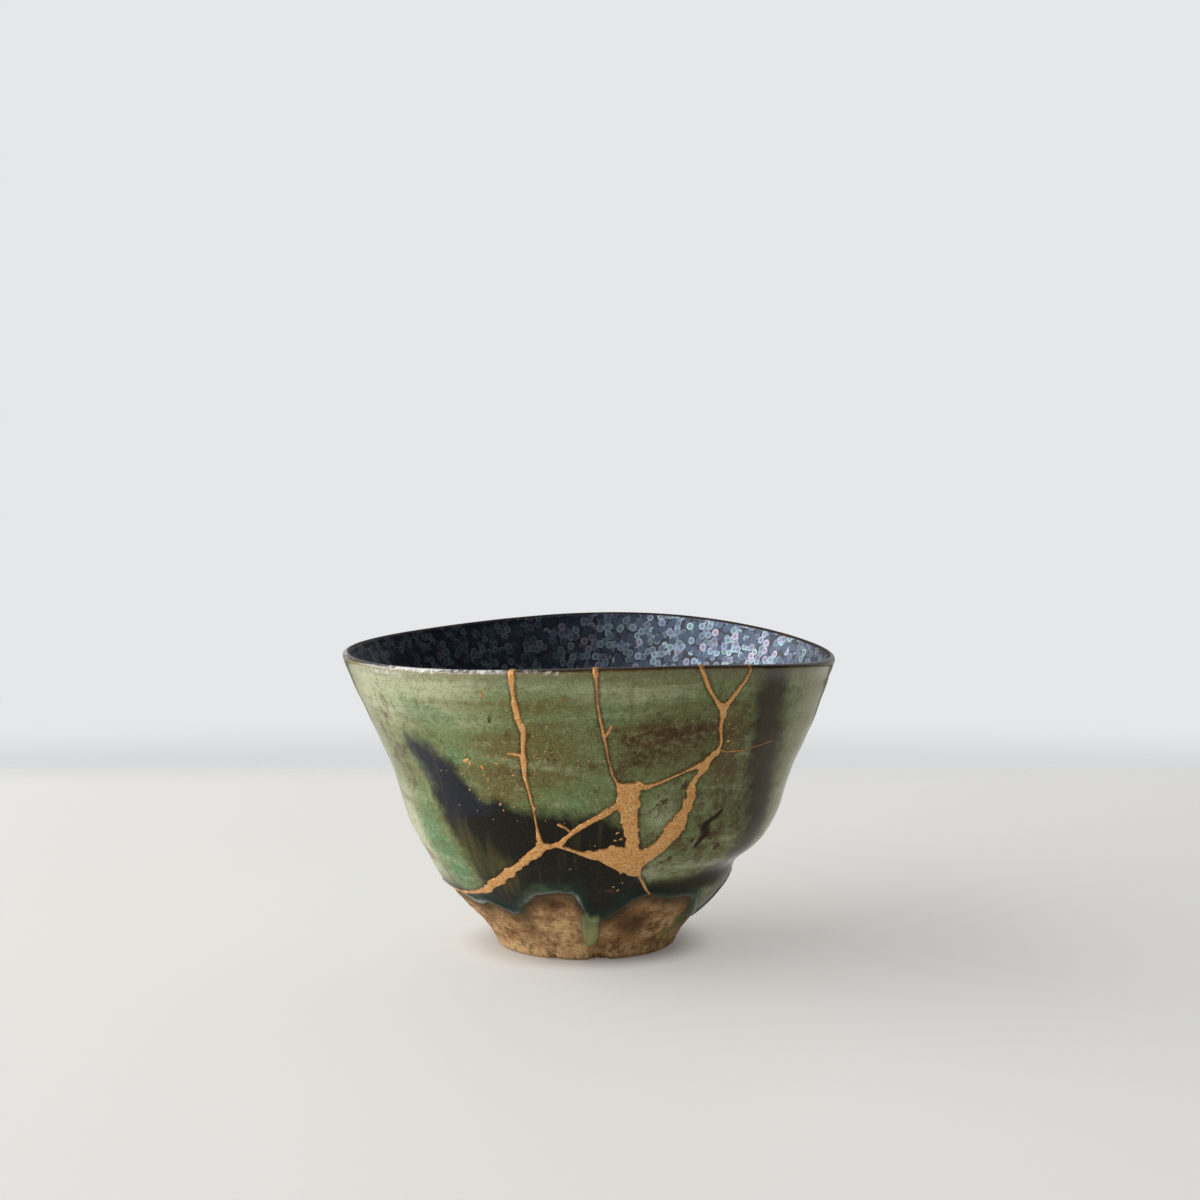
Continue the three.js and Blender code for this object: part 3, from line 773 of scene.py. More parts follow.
def nearest_seam(turn, z):
    """Nearest point on the seams' centre lines and its distance on the wall in mm."""
    scale = np.radians(1) * outer_radius(z)
    best = np.full(turn.shape, FAR)
    best_turn, best_z = turn.copy(), z.copy()
    for run in SEAMS.values():
        for (t0, z0, _), (t1, z1, _) in zip(run[:-1], run[1:]):
            away, share = segment_distance(
                turn * scale, z, (t0 * scale, z0), (t1 * scale, z1))
            closer = away < best
            best = np.where(closer, away, best)
            best_turn = np.where(closer, t0 + share * (t1 - t0), best_turn)
            best_z = np.where(closer, z0 + share * (z1 - z0), best_z)
    return best_turn, best_z, best


def sherd_labels(a, h):
    """The piece of each cell between the grid's points: 0 for the body, 1 to 5 for the
    sherds, and -1 in the middle of the mend."""
    columns = a[0]
    a = a[:-1] + np.diff(np.r_[columns, columns[0] + 2 * np.pi]) / 2
    z = ((h[:-1] + h[1:]) / 2) * rim_height(a) / SECTION_HEIGHT
    a = np.radians(turn_degrees(a))
    label = np.zeros(z.shape, int)
    for number, name in enumerate(SHERDS, 1):
        inside = outline_distance(a, z, SHERD_OUTLINES[name]) < 0
        label[inside & (z > LOWEST_SHERD)] = number
    front = (np.abs(np.degrees(a)) < MEND_END) & (z > LOWEST_SHERD)
    label[front & (seam_distance(a, z) < -MEND_CORE)] = -1
    return label


def snap_to_seams(a, h, label):
    """Moves the grid's points between two pieces onto the nearest seam, in place."""
    around = np.stack([label, np.roll(label, 1, 1)])
    stack = np.concatenate([around[:, :-1], around[:, 1:]])
    mixed = np.zeros(a.shape, bool)
    mixed[1:-1] = (stack != stack[0]).any(0)
    mixed[-1] = label[-1] != np.roll(label[-1], 1)
    z = h * rim_height(a) / SECTION_HEIGHT
    turn, new_z, away = nearest_seam(turn_degrees(a[mixed]), z[mixed])
    move = away < SNAP_REACH
    where = tuple(v[move] for v in np.nonzero(mixed))
    a[where] = np.radians(turn[move])
    below_lip = where[0] < len(h) - 1
    rows = tuple(v[below_lip] for v in where)
    new_h = new_z[move] * SECTION_HEIGHT / rim_height(np.radians(turn[move]))
    h[rows] = new_h[below_lip]


def foot_rings(columns):
    """Rings of the recess and the foot ring, with turned rings and toothed clay in the
    recess. Returns the points and their azimuths."""
    under = evenly(smooth_curve(UNDER_POINTS, 12), 1.0)[1:-1]
    a, r = np.meshgrid(columns, under[:, 0])
    points = bowl_points(a, r, np.broadcast_to(under[:, 1:], a.shape), True)
    rough = layered_noise(points, CLAY_TOOTH_SIZE, 14) - 0.5
    turned = 0.12 * np.cos(2 * np.pi * r / 3.1) * smooth_step(15, 12, r)
    points[..., 2] += (turned + 0.3 * rough) * smooth_step(15.4, 14, r)
    return points, a


def floor_rings(columns, start_height):
    """Rings of the inner floor, from the wall's lowest ring in to the axis. Returns the
    points and their azimuths."""
    curve = INNER_CURVE[INNER_CURVE[:, 0] < inner_radius(MATCHED_FROM) - 0.8]
    start = np.array([[inner_radius(start_height), start_height]])
    floor = evenly(np.vstack([start, curve[::-1]]), 1.7)[1:-1]
    a, r = np.meshgrid(columns, floor[:, 0])
    points = bowl_points(a, r, np.broadcast_to(floor[:, 1:], a.shape), False)
    points[..., 2] += inner_relief(points) * 0.9
    return points, a


def build_pot_grid(sizes):
    """The whole pot as rings of points from the recess to the inner floor, with each wall
    cell's sherd and the values its glazes read."""
    columns = pot_columns()
    heights = np.r_[heights_between(FOOT_CHAMFER, 23, 0.42),
                    heights_between(23, LIP_HEIGHT, 0.75)[1:]]
    a, h = np.meshgrid(columns, heights)
    first = int(np.searchsorted(heights, MATCHED_FROM))
    label = sherd_labels(a, h)
    label[:first] = 0
    snap_to_seams(a, h, label)

    outside, top_relief = skin(a, h, True, sizes)
    inside, inner_top = skin(a[first:], h[first:], False, sizes)
    lip, lip_cos = lip_rings(a[-1], top_relief[-1], inner_top[-1])
    foot, foot_a = foot_rings(columns)
    floor, floor_a = floor_rings(columns, h[first, 0])
    rings = np.vstack([foot, outside, lip, inside[::-1], floor])
    chipped = len(foot) + CHIPPED_RINGS
    rings[:chipped] = chip_foot(rings[:chipped])
    poles = np.array([[0, 0, UNDER_POINTS[0][1]], [0, 0, FLOOR_HEIGHT - POLE_DIP]]) + SHIFT
    points = np.vstack([rings.reshape(-1, 3), poles])
    points[:, 2] = np.maximum(points[:, 2], 0)      # the foot ring stands flat

    around = np.vstack([foot_a, a, np.repeat(a[-1:], len(lip), 0), a[first:][::-1], floor_a])
    rings = points[:-2].reshape(rings.shape)
    marks = glaze_marks(around, rings[..., 2], rings)
    marks["glaze_edge"][:len(foot)] = -9
    # The way down from the middle of the lip, negative inside.
    marks["lip_way"] = np.vstack([
        np.full(foot_a.shape, 90.0), QUARTER_LIP + (LIP_HEIGHT - h) * 1.04,
        QUARTER_LIP * (1 - np.arccos(np.clip(lip_cos, -1, 1)) * 2 / math.pi),
        (-QUARTER_LIP - (LIP_HEIGHT - h[first:]) * 1.06)[::-1], np.full(floor_a.shape, -90.0),
    ])
    way = [RING_RADIUS * np.sin(around), -RING_RADIUS * np.cos(around), np.abs(marks["lip_way"])]
    marks["ring_way"] = MM * np.stack(way, -1)
    values = {}
    for name, value in marks.items():
        flat = value.reshape(-1, *value.shape[2:])
        values[name] = np.concatenate([flat, flat[[0, -len(columns)]]])
    return {"points": points, "values": values, "label": label[first:], "columns": len(columns),
            "first": len(foot) + first, "rows": len(heights) - first, "lip": len(lip),
            "rings": len(rings)}


def pot_grid(sizes):
    """The pot's grid for these sizes, worked out once and kept for every piece."""
    key = (sizes.unevenness, sizes.throwing_ridges, sizes.glaze_thickness, sizes.drip_thickness)
    if key not in GRIDS:
        GRIDS.clear()
        GRIDS[key] = build_pot_grid(sizes)
    return GRIDS[key]


def pot_piece(name, node, number, sizes, materials):
    """One piece of pottery cut from the grid; the body, number 0, also has the foot and
    the inner floor, closed at both poles by fans of triangles."""
    grid = pot_grid(sizes)
    columns, rings = grid["columns"], grid["rings"]
    keep = without_corner_touches(grid["label"] == number)
    quads, kinds, polygons = wall_faces(
        grid["first"], grid["rows"], columns, grid["lip"], keep, True, number == 0)
    if number == 0:
        i = np.arange(columns)
        j = (i + 1) % columns
        inner_end = grid["first"] + 2 * grid["rows"] + grid["lip"] - 1
        for low, high, kind in ((0, grid["first"], OUTSIDE), (inner_end, rings - 1, INSIDE)):
            k = np.arange(low, high)[:, None] * columns
            strip = np.stack([k + i, k + j, k + columns + j, k + columns + i], -1)
            quads = np.vstack([quads, strip.reshape(-1, 4)])
            kinds = np.r_[kinds, np.full(strip[..., 0].size, kind)]
        kinds = np.r_[kinds, np.full(len(polygons), BROKEN), 0 * i + OUTSIDE, 0 * i + INSIDE]
        pole, last = rings * columns + 0 * i, (rings - 1) * columns
        polygons += list(np.stack([pole, j, i], -1))
        polygons += list(np.stack([pole + 1, last + i, last + j], -1))
    return make_piece(name, grid["points"], quads, kinds, polygons, grid["values"],
                      materials, node)


# ------------------------------------------------------------------ the gold

GOLD_FLECKS = [  # azimuth, height, half length, half width in mm, tilt in degrees
    (-34.6, 53.4, 0.95, 0.5, 25), (-33.4, 52.8, 0.5, 0.4, 80), (-29.6, 52.1, 0.5, 0.4, 0),
    (-26.9, 55.2, 0.3, 0.22, 60), (-24.6, 53.4, 0.28, 0.22, 10), (-25.7, 43.1, 0.42, 0.3, 30),
    (-24.9, 41.7, 0.26, 0.2, 0), (-37.3, 49.8, 0.26, 0.2, 0), (-28.4, 49.4, 0.3, 0.22, 45),
    (-18.6, 53.3, 0.3, 0.2, 0), (-13.2, 56.4, 0.24, 0.2, 0), (-10.8, 57.3, 0.28, 0.2, 20),
    (38.6, 58.2, 0.55, 0.35, -20), (39.3, 61.2, 0.3, 0.2, 0), (37.8, 62.4, 0.3, 0.2, 0),
    (8.8, 36.8, 0.5, 0.24, 40), (10, 35.2, 0.45, 0.3, 10), (8.2, 34.9, 0.4, 0.24, -30),
    (11.2, 37.9, 0.4, 0.2, 60), (9.2, 22.2, 0.36, 0.22, 0), (11, 21.2, 0.4, 0.2, 50),
    (12.2, 23.2, 0.26, 0.2, 0), (-5.6, 27.3, 0.26, 0.18, 0), (-20.4, 50.8, 0.3, 0.2, 0),
    (-8.9, 57.2, 0.22, 0.18, 0), (-35.8, 45.9, 0.3, 0.2, 10), (38.8, 76.9, 0.9, 0.35, 0),
    (-2.4, 53.4, 0.24, 0.2, 0), (-3.4, 50.7, 0.2, 0.16, 0), (15.2, 35.2, 0.5, 0.22, -50),
]
MEND_TURN, MEND_COLUMN = (-MEND_END, 60.2), 0.27        # degrees round, and between columns
MEND_LOWEST, MEND_ROW = 15.2, 0.26                      # lowest height, and between rows, mm
GOLD_MARGIN = 0.06      # cells with a corner no further than this outside the gold are kept
SCATTER_TURN, SCATTER_HEIGHT = (-56, 360), (24, 73)     # where loose powder may fall
FLECK_SIDES = 10
FLECK_SHARES = (0.35, 0.7, 0.92, 1.08, 1.08)
FLECK_SINK = (-0.03, -0.14)                             # the two outer rings lie under the skin


def gold_bead(distance, height, edge):
    """Height of the gold over the skin: a quarter round from its edge inwards, and a
    plunge under the skin outside it."""
    share = np.clip(-distance / edge, 0, 1)
    rise = height * np.sqrt(1 - (1 - share) ** 2)
    return np.where(distance < 0, rise, -0.9 * np.minimum(distance, 0.3))


def mend_distances(a, z, drawn):
    """Signed distances from the gold's edge, negative inside: of the seams alone, and with
    the threads that lie on the glaze. Two noises make the edge ragged, all but the thin
    seams, which stay even."""
    ragged = 2.4 * (layered_noise(drawn, 1.5, 41, 2) - 0.5)
    ragged += 1.6 * (layered_noise(drawn, 4, 42, 2) - 0.5)
    mend = seam_distance(a, z)
    centres = [[(azimuth, height, 0) for azimuth, height, _ in run] for run in SEAMS.values()]
    centre = np.min([line_distance(a, z, run) for run in centres], 0)
    broad = 0.2 + 0.8 * smooth_step(0.35, 1.1, centre - mend)
    mend = mend + broad * np.clip(ragged, -0.5, 0.15)
    threads = np.min([outline_distance(a, z, run_outline(run)) for run in THREADS], 0)
    return mend, np.minimum(mend, threads + 0.08 * ragged)


def gold_seams_piece(name, node, sizes, gold, material):
    """The mended seams as one closed piece through the wall: grid cells within the seams'
    outlines, raised as beads outside and inside."""
    columns = np.radians(np.arange(*MEND_TURN, MEND_COLUMN))
    heights = heights_between(MEND_LOWEST, LIP_HEIGHT, MEND_ROW)
    a, h = np.meshgrid(columns, heights)
    z = h * rim_height(a) / SECTION_HEIGHT
    mend, shown = mend_distances(a, z, bowl_points(a, outer_radius(h), h, True))
    height, edge = gold.bead_height / MM, gold.bead_edge / MM
    inner_bead = gold_bead(mend, 0.8 * height, edge)
    outside, top = skin(a, h, True, sizes, gold_bead(shown, height, edge))
    inside, inner_top = skin(a, h, False, sizes, inner_bead)
    lip, _ = lip_rings(a[-1], top[-1], inner_top[-1], inner_bead[-1])
    near = np.min([shown[:-1, :-1], shown[1:, :-1], shown[:-1, 1:], shown[1:, 1:]], 0)
    keep = without_corner_touches(near < GOLD_MARGIN)
    points = np.vstack([outside, lip, inside[::-1]]).reshape(-1, 3)
    quads, kinds, polygons = wall_faces(0, len(heights), len(columns), len(lip), keep, False)
    depth = -np.vstack([shown, np.repeat(mend[-1:], len(lip), 0), mend[::-1]]).ravel()
    return make_piece(name, points, quads, kinds, polygons, {"gold_depth": depth}, [material],
                      node)


def gold_flecks_piece(name, sizes, gold, material):
    """Specks of gold as low closed domes on the skin: rings at a share s of each speck's
    wavy outline, raised by its height times the root of 1 minus s squared, and closed by
    two rings under the skin."""
    random = np.random.default_rng(17)
    count = gold.fleck_count
    scatter = np.stack([
        random.normal(-20, 11, count), random.normal(52, 7, count),
        random.uniform(0.1, 0.24, count), random.uniform(0.09, 0.17, count),
        random.uniform(0, 180, count)], -1)
    for column, (low, high) in enumerate((SCATTER_TURN, SCATTER_HEIGHT)):
        scatter = scatter[(scatter[:, column] > low) & (scatter[:, column] < high)]
    flecks = np.vstack([np.array(GOLD_FLECKS, float), scatter])
    azimuth, height, half_length, half_width, tilt = flecks.T[:, :, None]
    around = np.arange(FLECK_SIDES) * 2 * np.pi / FLECK_SIDES
    wobble = 1 + 0.22 * np.sin(2 * around + random.uniform(0, 6, (len(flecks), 1)))
    wobble += 0.16 * np.sin(3 * around + random.uniform(0, 6, (len(flecks), 1)))
    x, y = np.cos(around) * half_length * wobble, np.sin(around) * half_width * wobble
    tilt = np.radians(tilt)
    shares = np.array(FLECK_SHARES)[:, None]
    across = (x * np.cos(tilt) - y * np.sin(tilt))[:, None] * shares
    along = (x * np.sin(tilt) + y * np.cos(tilt))[:, None] * shares
    a = np.radians(azimuth)[..., None] + across / outer_radius(height)[..., None]
    h = (height[..., None] + along) * SECTION_HEIGHT / rim_height(a)
    rise = np.sqrt(1 - np.minimum(shares, 1) ** 2) * 0.5
    lift = rise * np.minimum(half_width, 0.3)[..., None] + np.zeros_like(a)
    lift[:, -2:] = np.array(FLECK_SINK)[:, None]
    points = skin(a, np.minimum(h, LIP_HEIGHT), True, sizes, lift)[0].reshape(-1, 3)
    i = np.arange(FLECK_SIDES)
    j = (i + 1) % FLECK_SIDES
    rings = (np.arange(a[:, :, 0].size) * FLECK_SIDES).reshape(len(flecks), -1, 1)
    quads = np.vstack([
        np.stack([low + j, low + i, high + i, high + j], -1).reshape(-1, 4)
        for low, high in zip(rings.swapaxes(0, 1)[:-1], rings.swapaxes(0, 1)[1:])])
    polygons = list(rings[:, 0] + i) + list((rings[:, -1] + i)[:, ::-1])
    return make_piece(name, points, quads, np.zeros(len(quads), int), polygons,
                      {"gold_depth": np.full(len(points), 0.3)}, [material])


# ------------------------------------------------------------------ finishes

def linear(hex_colour):
    """sRGB hex to linear: below 0.04045 divided by 12.92, else ((c + 0.055) / 1.055)
    to the power 2.4."""
    channels = [int(hex_colour[k:k + 2], 16) / 255 for k in (1, 3, 5)]
    return [c / 12.92 if c <= 0.04045 else ((c + 0.055) / 1.055) ** 2.4 for c in channels]


def add(tree, kind, inputs=None, **settings):
    """Adds a shader node, sets its properties, and fills its inputs: a socket is linked,
    a node gives its first live output, and anything else becomes the input's value."""
    node = tree.nodes.new("ShaderNode" + kind)
    node.location = (210 * (len(tree.nodes) // 7), -190 * (len(tree.nodes) % 7))
    for key, value in settings.items():
        setattr(node, key, value)
    for key, value in (inputs or {}).items():
        if isinstance(value, bpy.types.Node):
            value = next(output for output in value.outputs if output.enabled)
        if isinstance(value, bpy.types.NodeSocket):
            tree.links.new(value, node.inputs[key])
        else:
            node.inputs[key].default_value = value
    return node


def per_mm(size):
    """Pattern scale in object coordinates, which are metres, for a feature this many mm."""
    return 1 / (size * MM)


def read_surface(tree, marks, grains):
    """What a finish reads at each point, as sockets by name. The marks are the mesh's own
    values. Each grain is a noise from 0 to 1: (name, where it is laid, how that is
    stretched, size of its features in mm, detail, roughness)."""
    reads = {"place": add(tree, "TexCoord").outputs["Object"]}
    for name in marks:
        mark = add(tree, "Attribute", attribute_name=name)
        reads[name] = mark.outputs["Vector" if name == "ring_way" else "Fac"]
    for name, place, stretch, size, detail, roughness in grains:
        at = reads[place]
        if stretch:
            at = add(tree, "Mapping", {"Vector": at, "Scale": stretch})
        reads[name] = add(tree, "TexNoise", {
            "Vector": at, "Scale": per_mm(size), "Detail": detail, "Roughness": roughness})
    return reads


def start_finish(name, marks=(), grains=()):
    """An empty node material of this name, replacing an earlier one, with what it reads."""
    old = bpy.data.materials.get(name)
    if old:
        bpy.data.materials.remove(old)
    material = bpy.data.materials.new(name)
    material.use_nodes = True
    tree = material.node_tree
    tree.nodes.clear()
    return material, tree, read_surface(tree, marks, grains)


def end_finish(material, inputs):
    """Lays the shader, with these inputs, over everything before it."""
    shader = add(material.node_tree, "BsdfPrincipled", inputs)
    add(material.node_tree, "OutputMaterial", {"Surface": shader})
    return material


def lay_colours(tree, reads, colours, base, layers):
    """Lays colours over a base in order. Each layer is (mark, grain, raggedness, low, high,
    colour, strength): its mask rises smoothly from low to high of the mark plus raggedness
    times the grain's departure from a half."""
    shade = base
    for mark, grain, ragged, low, high, colour, strength in layers:
        reach = add(tree, "Math", {0: reads[grain], 1: ragged, 2: reads[mark]},
                    operation="MULTIPLY_ADD")
        mask = add(tree, "MapRange", {
            "Value": reach, "From Min": low + ragged / 2, "From Max": high + ragged / 2,
            "To Min": 0.0, "To Max": strength}, interpolation_type="SMOOTHSTEP")
        shade = add(tree, "Mix", {0: mask, 6: shade, 7: colours[colour]}, data_type="RGBA")
    return shade


POT_MARKS = ["ring_way", "lip_way", "glaze_edge", "night", "dark_run", "groove_pool",
             "iron_patch", "drip", "scar", "frost", "mend", *CLOUDS]
# Along the wall lie thrown lines 0.8 mm apart in bands 5 mm wide, dashes, and runs 2 mm wide.
POT_GRAINS = [
    ("lines", "ring_way", (0.12, 0.12, 1.0), 0.8, 3, 0.5),
    ("bands", "ring_way", (0.12, 0.12, 1.0), 5.0, 3, 0.5),
    ("dashes", "ring_way", (0.5, 0.5, 1.0), 1.6, 4, 0.65),
    ("runs", "ring_way", (1.0, 1.0, 0.14), 2.2, 3, 0.5),
    ("drift", "place", None, 13, 3, 0.5),
    ("mottle", "place", None, 4.0, 4, 0.6),
    ("break_up", "place", None, 1.5, 3, 0.6),
    ("speck", "place", None, 0.5, 2, 0.6),
    ("tooth", "place", None, 2.4, 5, 0.65),
    ("turned", "place", (0.6, 0.6, 1.5), 3.4, 5, 0.65),
]
GLAZE_LAYERS = [
    ("pale", "drift", 0.8, 0.05, 0.9, "celadon", 0.9),
    ("teal", "mottle", 0.8, 0.1, 0.95, "teal", 0.75),
    ("olive", "bands", 2.2, 0.1, 0.95, "olive", 0.8),
    ("bands", "break_up", 0.2, 0.5, 0.72, "olive", 0.4),
    ("bands", "break_up", 0.2, 0.47, 0.28, "celadon", 0.4),
    ("lines", "break_up", 0.3, 0.48, 0.85, "olive", 0.5),
    ("runs", "speck", 0.3, 0.55, 0.95, "umber", 0.3),
    ("loam", "mottle", 3.6, 0.25, 1.2, "loam", 0.8),
    ("iron_patch", "dashes", 14.0, -3.0, 6.0, "umber", 0.55),
    ("iron_patch", "break_up", 26.0, 4.0, 7.5, "iron", 0.6),
    ("iron_patch", "speck", 26.0, 6.0, 9.0, "rust", 0.6),
    ("break_up", "speck", 0.4, 0.51, 0.7, "olive", 0.22),
    ("break_up", "speck", 0.6, 0.48, 0.3, "celadon", 0.16),
    ("blotch", "break_up", 1.9, 0.35, 0.8, "umber", 0.9),
    ("speck", "mottle", 0.25, 0.5, 0.66, "iron", 0.25),
    ("speck", "mottle", 0.2, 0.45, 0.3, "straw_and_sheen", 0.22),
    ("below_lip", "break_up", 3.0, -4.6, -3.0, "olive", 0.4),
    ("below_lip", "break_up", 1.4, -2.4, -1.6, "rust", 0.5),
    ("groove_pool", "mottle", 2.5, -1.6, 1.8, "run", 0.9),
    ("dark_run", "mottle", 9.0, -4.0, 3.0, "run", 0.9),
    ("night", "mottle", 5.0, -2.2, 2.2, "night", 0.97),
    ("navy", "mottle", 0.9, 0.25, 1.0, "navy", 0.6),
    ("streak", "drift", 0.6, 0.3, 1.2, "fern", 0.12),
    ("streak", "runs", 3.0, 0.2, 1.5, "olive", 0.5),
    ("streak", "break_up", 1.6, 0.3, 1.4, "night", 0.35),
    ("rust", "break_up", 0.6, 0.2, 0.7, "rust", 0.8),
    ("scar", "break_up", 0.5, -0.35, 0.1, "iron", 0.9),
    # A painted sheen along the outline, in the pale thin-glaze colour.
    ("haze", "drift", 0.6, 0.1, 1.1, "straw_and_sheen", 0.65),
    ("speck", "mottle", 0.25, 0.52, 0.7, "loam", 0.2),
    ("mend", "speck", 0.9, -1.1, 0.1, "iron", 0.6),
    # The thick roll at the lower edge: a dark pool, then a milky rim of glass.
    ("under_edge", "mottle", 1.6, -4.6, -1.2, "pool", 0.75),
    ("drip", "mottle", 2.0, -0.3, 1.5, "drip", 0.8),
    ("frost", "break_up", 0.8, 0.1, 0.9, "glass", 0.85),
    # The lip, iron brown where the glaze ran thin, with white breaks below it that are partly a
    # painted highlight on the lip's shoulder.
    ("below_lip", "break_up", 0.8, -1.8, -1.2, "lip", 0.96),
    ("milk", "break_up", 1.7, 0.4, 0.95, "milk", 0.9),
]
CLAY_LAYERS = [
    ("turned", "tooth", 0.4, 0.45, 0.6, "pale_clay", 0.8),
    ("ochre", "tooth", 2.2, 0.2, 1.0, "pale_clay", 0.85),
    ("dashes", "tooth", 0.6, 0.5, 0.64, "dark_clay", 0.55),
    ("mottle", "tooth", 0.8, 0.51, 0.68, "dark_clay", 0.6),
    ("glaze_edge", "turned", 12.0, -4.5, 0.5, "dark_clay", 0.75),
    ("soot", "turned", 1.4, 0.0, 0.8, "dark_clay", 0.85),
    ("soot", "tooth", 1.6, 0.3, 1.2, "lip", 0.45),
    ("wash", "mottle", 1.2, 0.2, 1.0, "fern", 0.7),
    ("speck", "tooth", 0.2, 0.5, 0.7, "dark_clay", 0.3),
    # The drip of glaze over the clay.
    ("drip", "break_up", 0.3, -0.15, 0.4, "dark_clay", 0.6),
    ("drip", "break_up", 0.8, 0.1, 1.2, "drip", 0.9),
    # Pale streaks in the drip's middle, partly a painted highlight on its dome.
    ("drip", "runs", 3.0, 0.9, 2.2, "straw_and_sheen", 0.45),
    ("glaze_edge", "mottle", 3.0, -4.0, 0.4, "pool", 0.5),
]
GLOSS_SPREAD = 0.14     # how far the glaze's roughness wanders
CLAY_ROUGHNESS = 0.82


def ash_glaze(colours, gloss):
    """Wood-ash and iron glaze, poured and fired, over brown stoneware. It gives running
    greens that pool dark in the hollows, a glassy gloss with soft wide highlights, and
    dry, toothed clay under a rolled edge."""
    material, tree, reads = start_finish(
        "Poured ash and iron glaze over bare stoneware", POT_MARKS, POT_GRAINS)
    for opposite, mark in (("below_lip", "lip_way"), ("under_edge", "glaze_edge")):
        reads[opposite] = add(tree, "Math", {0: reads[mark], 1: -1.0}, operation="MULTIPLY")
    moss = add(tree, "Mix", {0: reads["drift"], 6: colours["moss"], 7: colours["fern"]},
               data_type="RGBA")
    glaze = lay_colours(tree, reads, colours, moss, GLAZE_LAYERS)
    clay = lay_colours(tree, reads, colours, colours["clay"], CLAY_LAYERS)
    on_glaze, on_drip = (
        add(tree, "MapRange", {"Value": reads[mark], "From Min": low, "From Max": high},
            interpolation_type="SMOOTHSTEP")
        for mark, low, high in (("glaze_edge", -0.12, 0.22), ("drip", -0.1, 0.4)))
    colour = add(tree, "Mix", {0: on_glaze, 6: clay, 7: glaze}, data_type="RGBA")
    glassy = add(tree, "Math", {0: on_glaze, 1: on_drip}, operation="MAXIMUM")
    wander = add(tree, "Math", {
        0: reads["mottle"], 1: GLOSS_SPREAD, 2: gloss - GLOSS_SPREAD / 2},
        operation="MULTIPLY_ADD")     # the glass's roughness
    # Dry, toothed clay; glass with orange peel and pinholes.
    rough, peel, depth = (
        add(tree, "Mix", {0: glassy, 2: on_clay, 3: on_glass}, data_type="FLOAT")
        for on_clay, on_glass in (
            (CLAY_ROUGHNESS, wander), (reads["tooth"], reads["mottle"]), (0.3, 0.14)))
    # A thicker, glassier roll just under the lip.
    shoulder = add(tree, "MapRange", {
        "Value": reads["below_lip"], "From Min": -6.0, "From Max": -3.0, "To Max": 0.8},
        interpolation_type="SMOOTHSTEP")
    coarse = add(tree, "Bump", {"Strength": depth, "Distance": 0.5 * MM, "Height": peel})
    relief = add(tree, "Bump", {
        "Strength": 0.12, "Distance": 0.12 * MM, "Height": reads["lines"], "Normal": coarse})
    return end_finish(material, {
        "Base Color": colour, "Roughness": rough, "IOR": 1.5, "Specular IOR Level": 0.12,
        "Coat Weight": shoulder, "Coat Roughness": 0.14, "Normal": relief,
        "Coat Normal": relief})


UPPER_RADIUS = 56       # mean radius of the upper inner wall, mm
# Two generations of discs, like bubbles that burst in turn: (shift in metres, share of the
# discs' spacing).
DISC_GENERATIONS = ((0.0, 0.93), (0.0371, 1.0))


def disc_patterns(tree, unrolled, place, low_down, shift, size):
    """Distance from the nearest disc's middle and a random colour for each disc. On the
    upper wall, round discs are laid on it unrolled; low down they are cut from a solid
    pattern."""
    patterns = []
    for way, dimensions, randomness in ((unrolled, "2D", 0.8), (place, "3D", 0.72)):
        at = add(tree, "Mapping", {"Vector": way, "Location": (shift, shift * 0.7, -shift)})
        patterns.append(add(tree, "TexVoronoi", {
            "Vector": at, "Scale": per_mm(size), "Randomness": randomness},
            voronoi_dimensions=dimensions))
    flat, solid = patterns
    away = add(tree, "Mix", {
        0: low_down, 2: flat.outputs["Distance"], 3: solid.outputs["Distance"]},
        data_type="FLOAT")
    lot = add(tree, "Mix", {0: low_down, 6: flat.outputs["Color"], 7: solid.outputs["Color"]},
              data_type="RGBA")
    return away, lot


def disc_layer(tree, colours, shade, away, lot):
    """One generation of discs over a shade: a dark middle and a paler rim, in one of three
    metallic tints and of any brightness. The paler rim round the dark middle is a painted glint
    ring, copying the blurred ring of an out-of-focus glint. Returns the new shade and the discs'
    mask."""
    disc = add(tree, "MapRange", {"Value": away, "From Min": 0.49, "From Max": 0.41},
               interpolation_type="SMOOTHSTEP")
    # Each disc grows paler towards its edge: a painted glint ring over the real spot.
    rim = add(tree, "MapRange", {
        "Value": away, "From Min": 0.16, "From Max": 0.36, "To Min": 0.42, "To Max": 1.0},
        interpolation_type="SMOOTHSTEP")
    parts = add(tree, "SeparateColor", {"Color": lot})
    hue = add(tree, "Mix", {
        0: parts.outputs["Red"], 6: colours["spot_blue"], 7: colours["spot_mint"]},
        data_type="RGBA")
    rosy = add(tree, "MapRange", {
        "Value": parts.outputs["Green"], "From Min": 0.66, "From Max": 0.86})
    tint = add(tree, "Mix", {0: rosy, 6: hue, 7: colours["spot_rose"]}, data_type="RGBA")
    pale = add(tree, "MapRange", {
        "Value": parts.outputs["Blue"], "From Min": 0.3, "From Max": 0.95, "To Min": 0.04,
        "To Max": 1.0})
    disc_tint_and_glint_ring = add(tree, "Math", {0: rim, 1: pale}, operation="MULTIPLY")
    disc_tint_and_glint_ring = add(tree, "Math", {0: disc_tint_and_glint_ring, 1: disc}, operation="MULTIPLY")
    for amount, colour in ((disc, colours["spot_core"]), (disc_tint_and_glint_ring, tint)):
        shade = add(tree, "Mix", {0: amount, 6: shade, 7: colour}, data_type="RGBA")
    return shade, disc


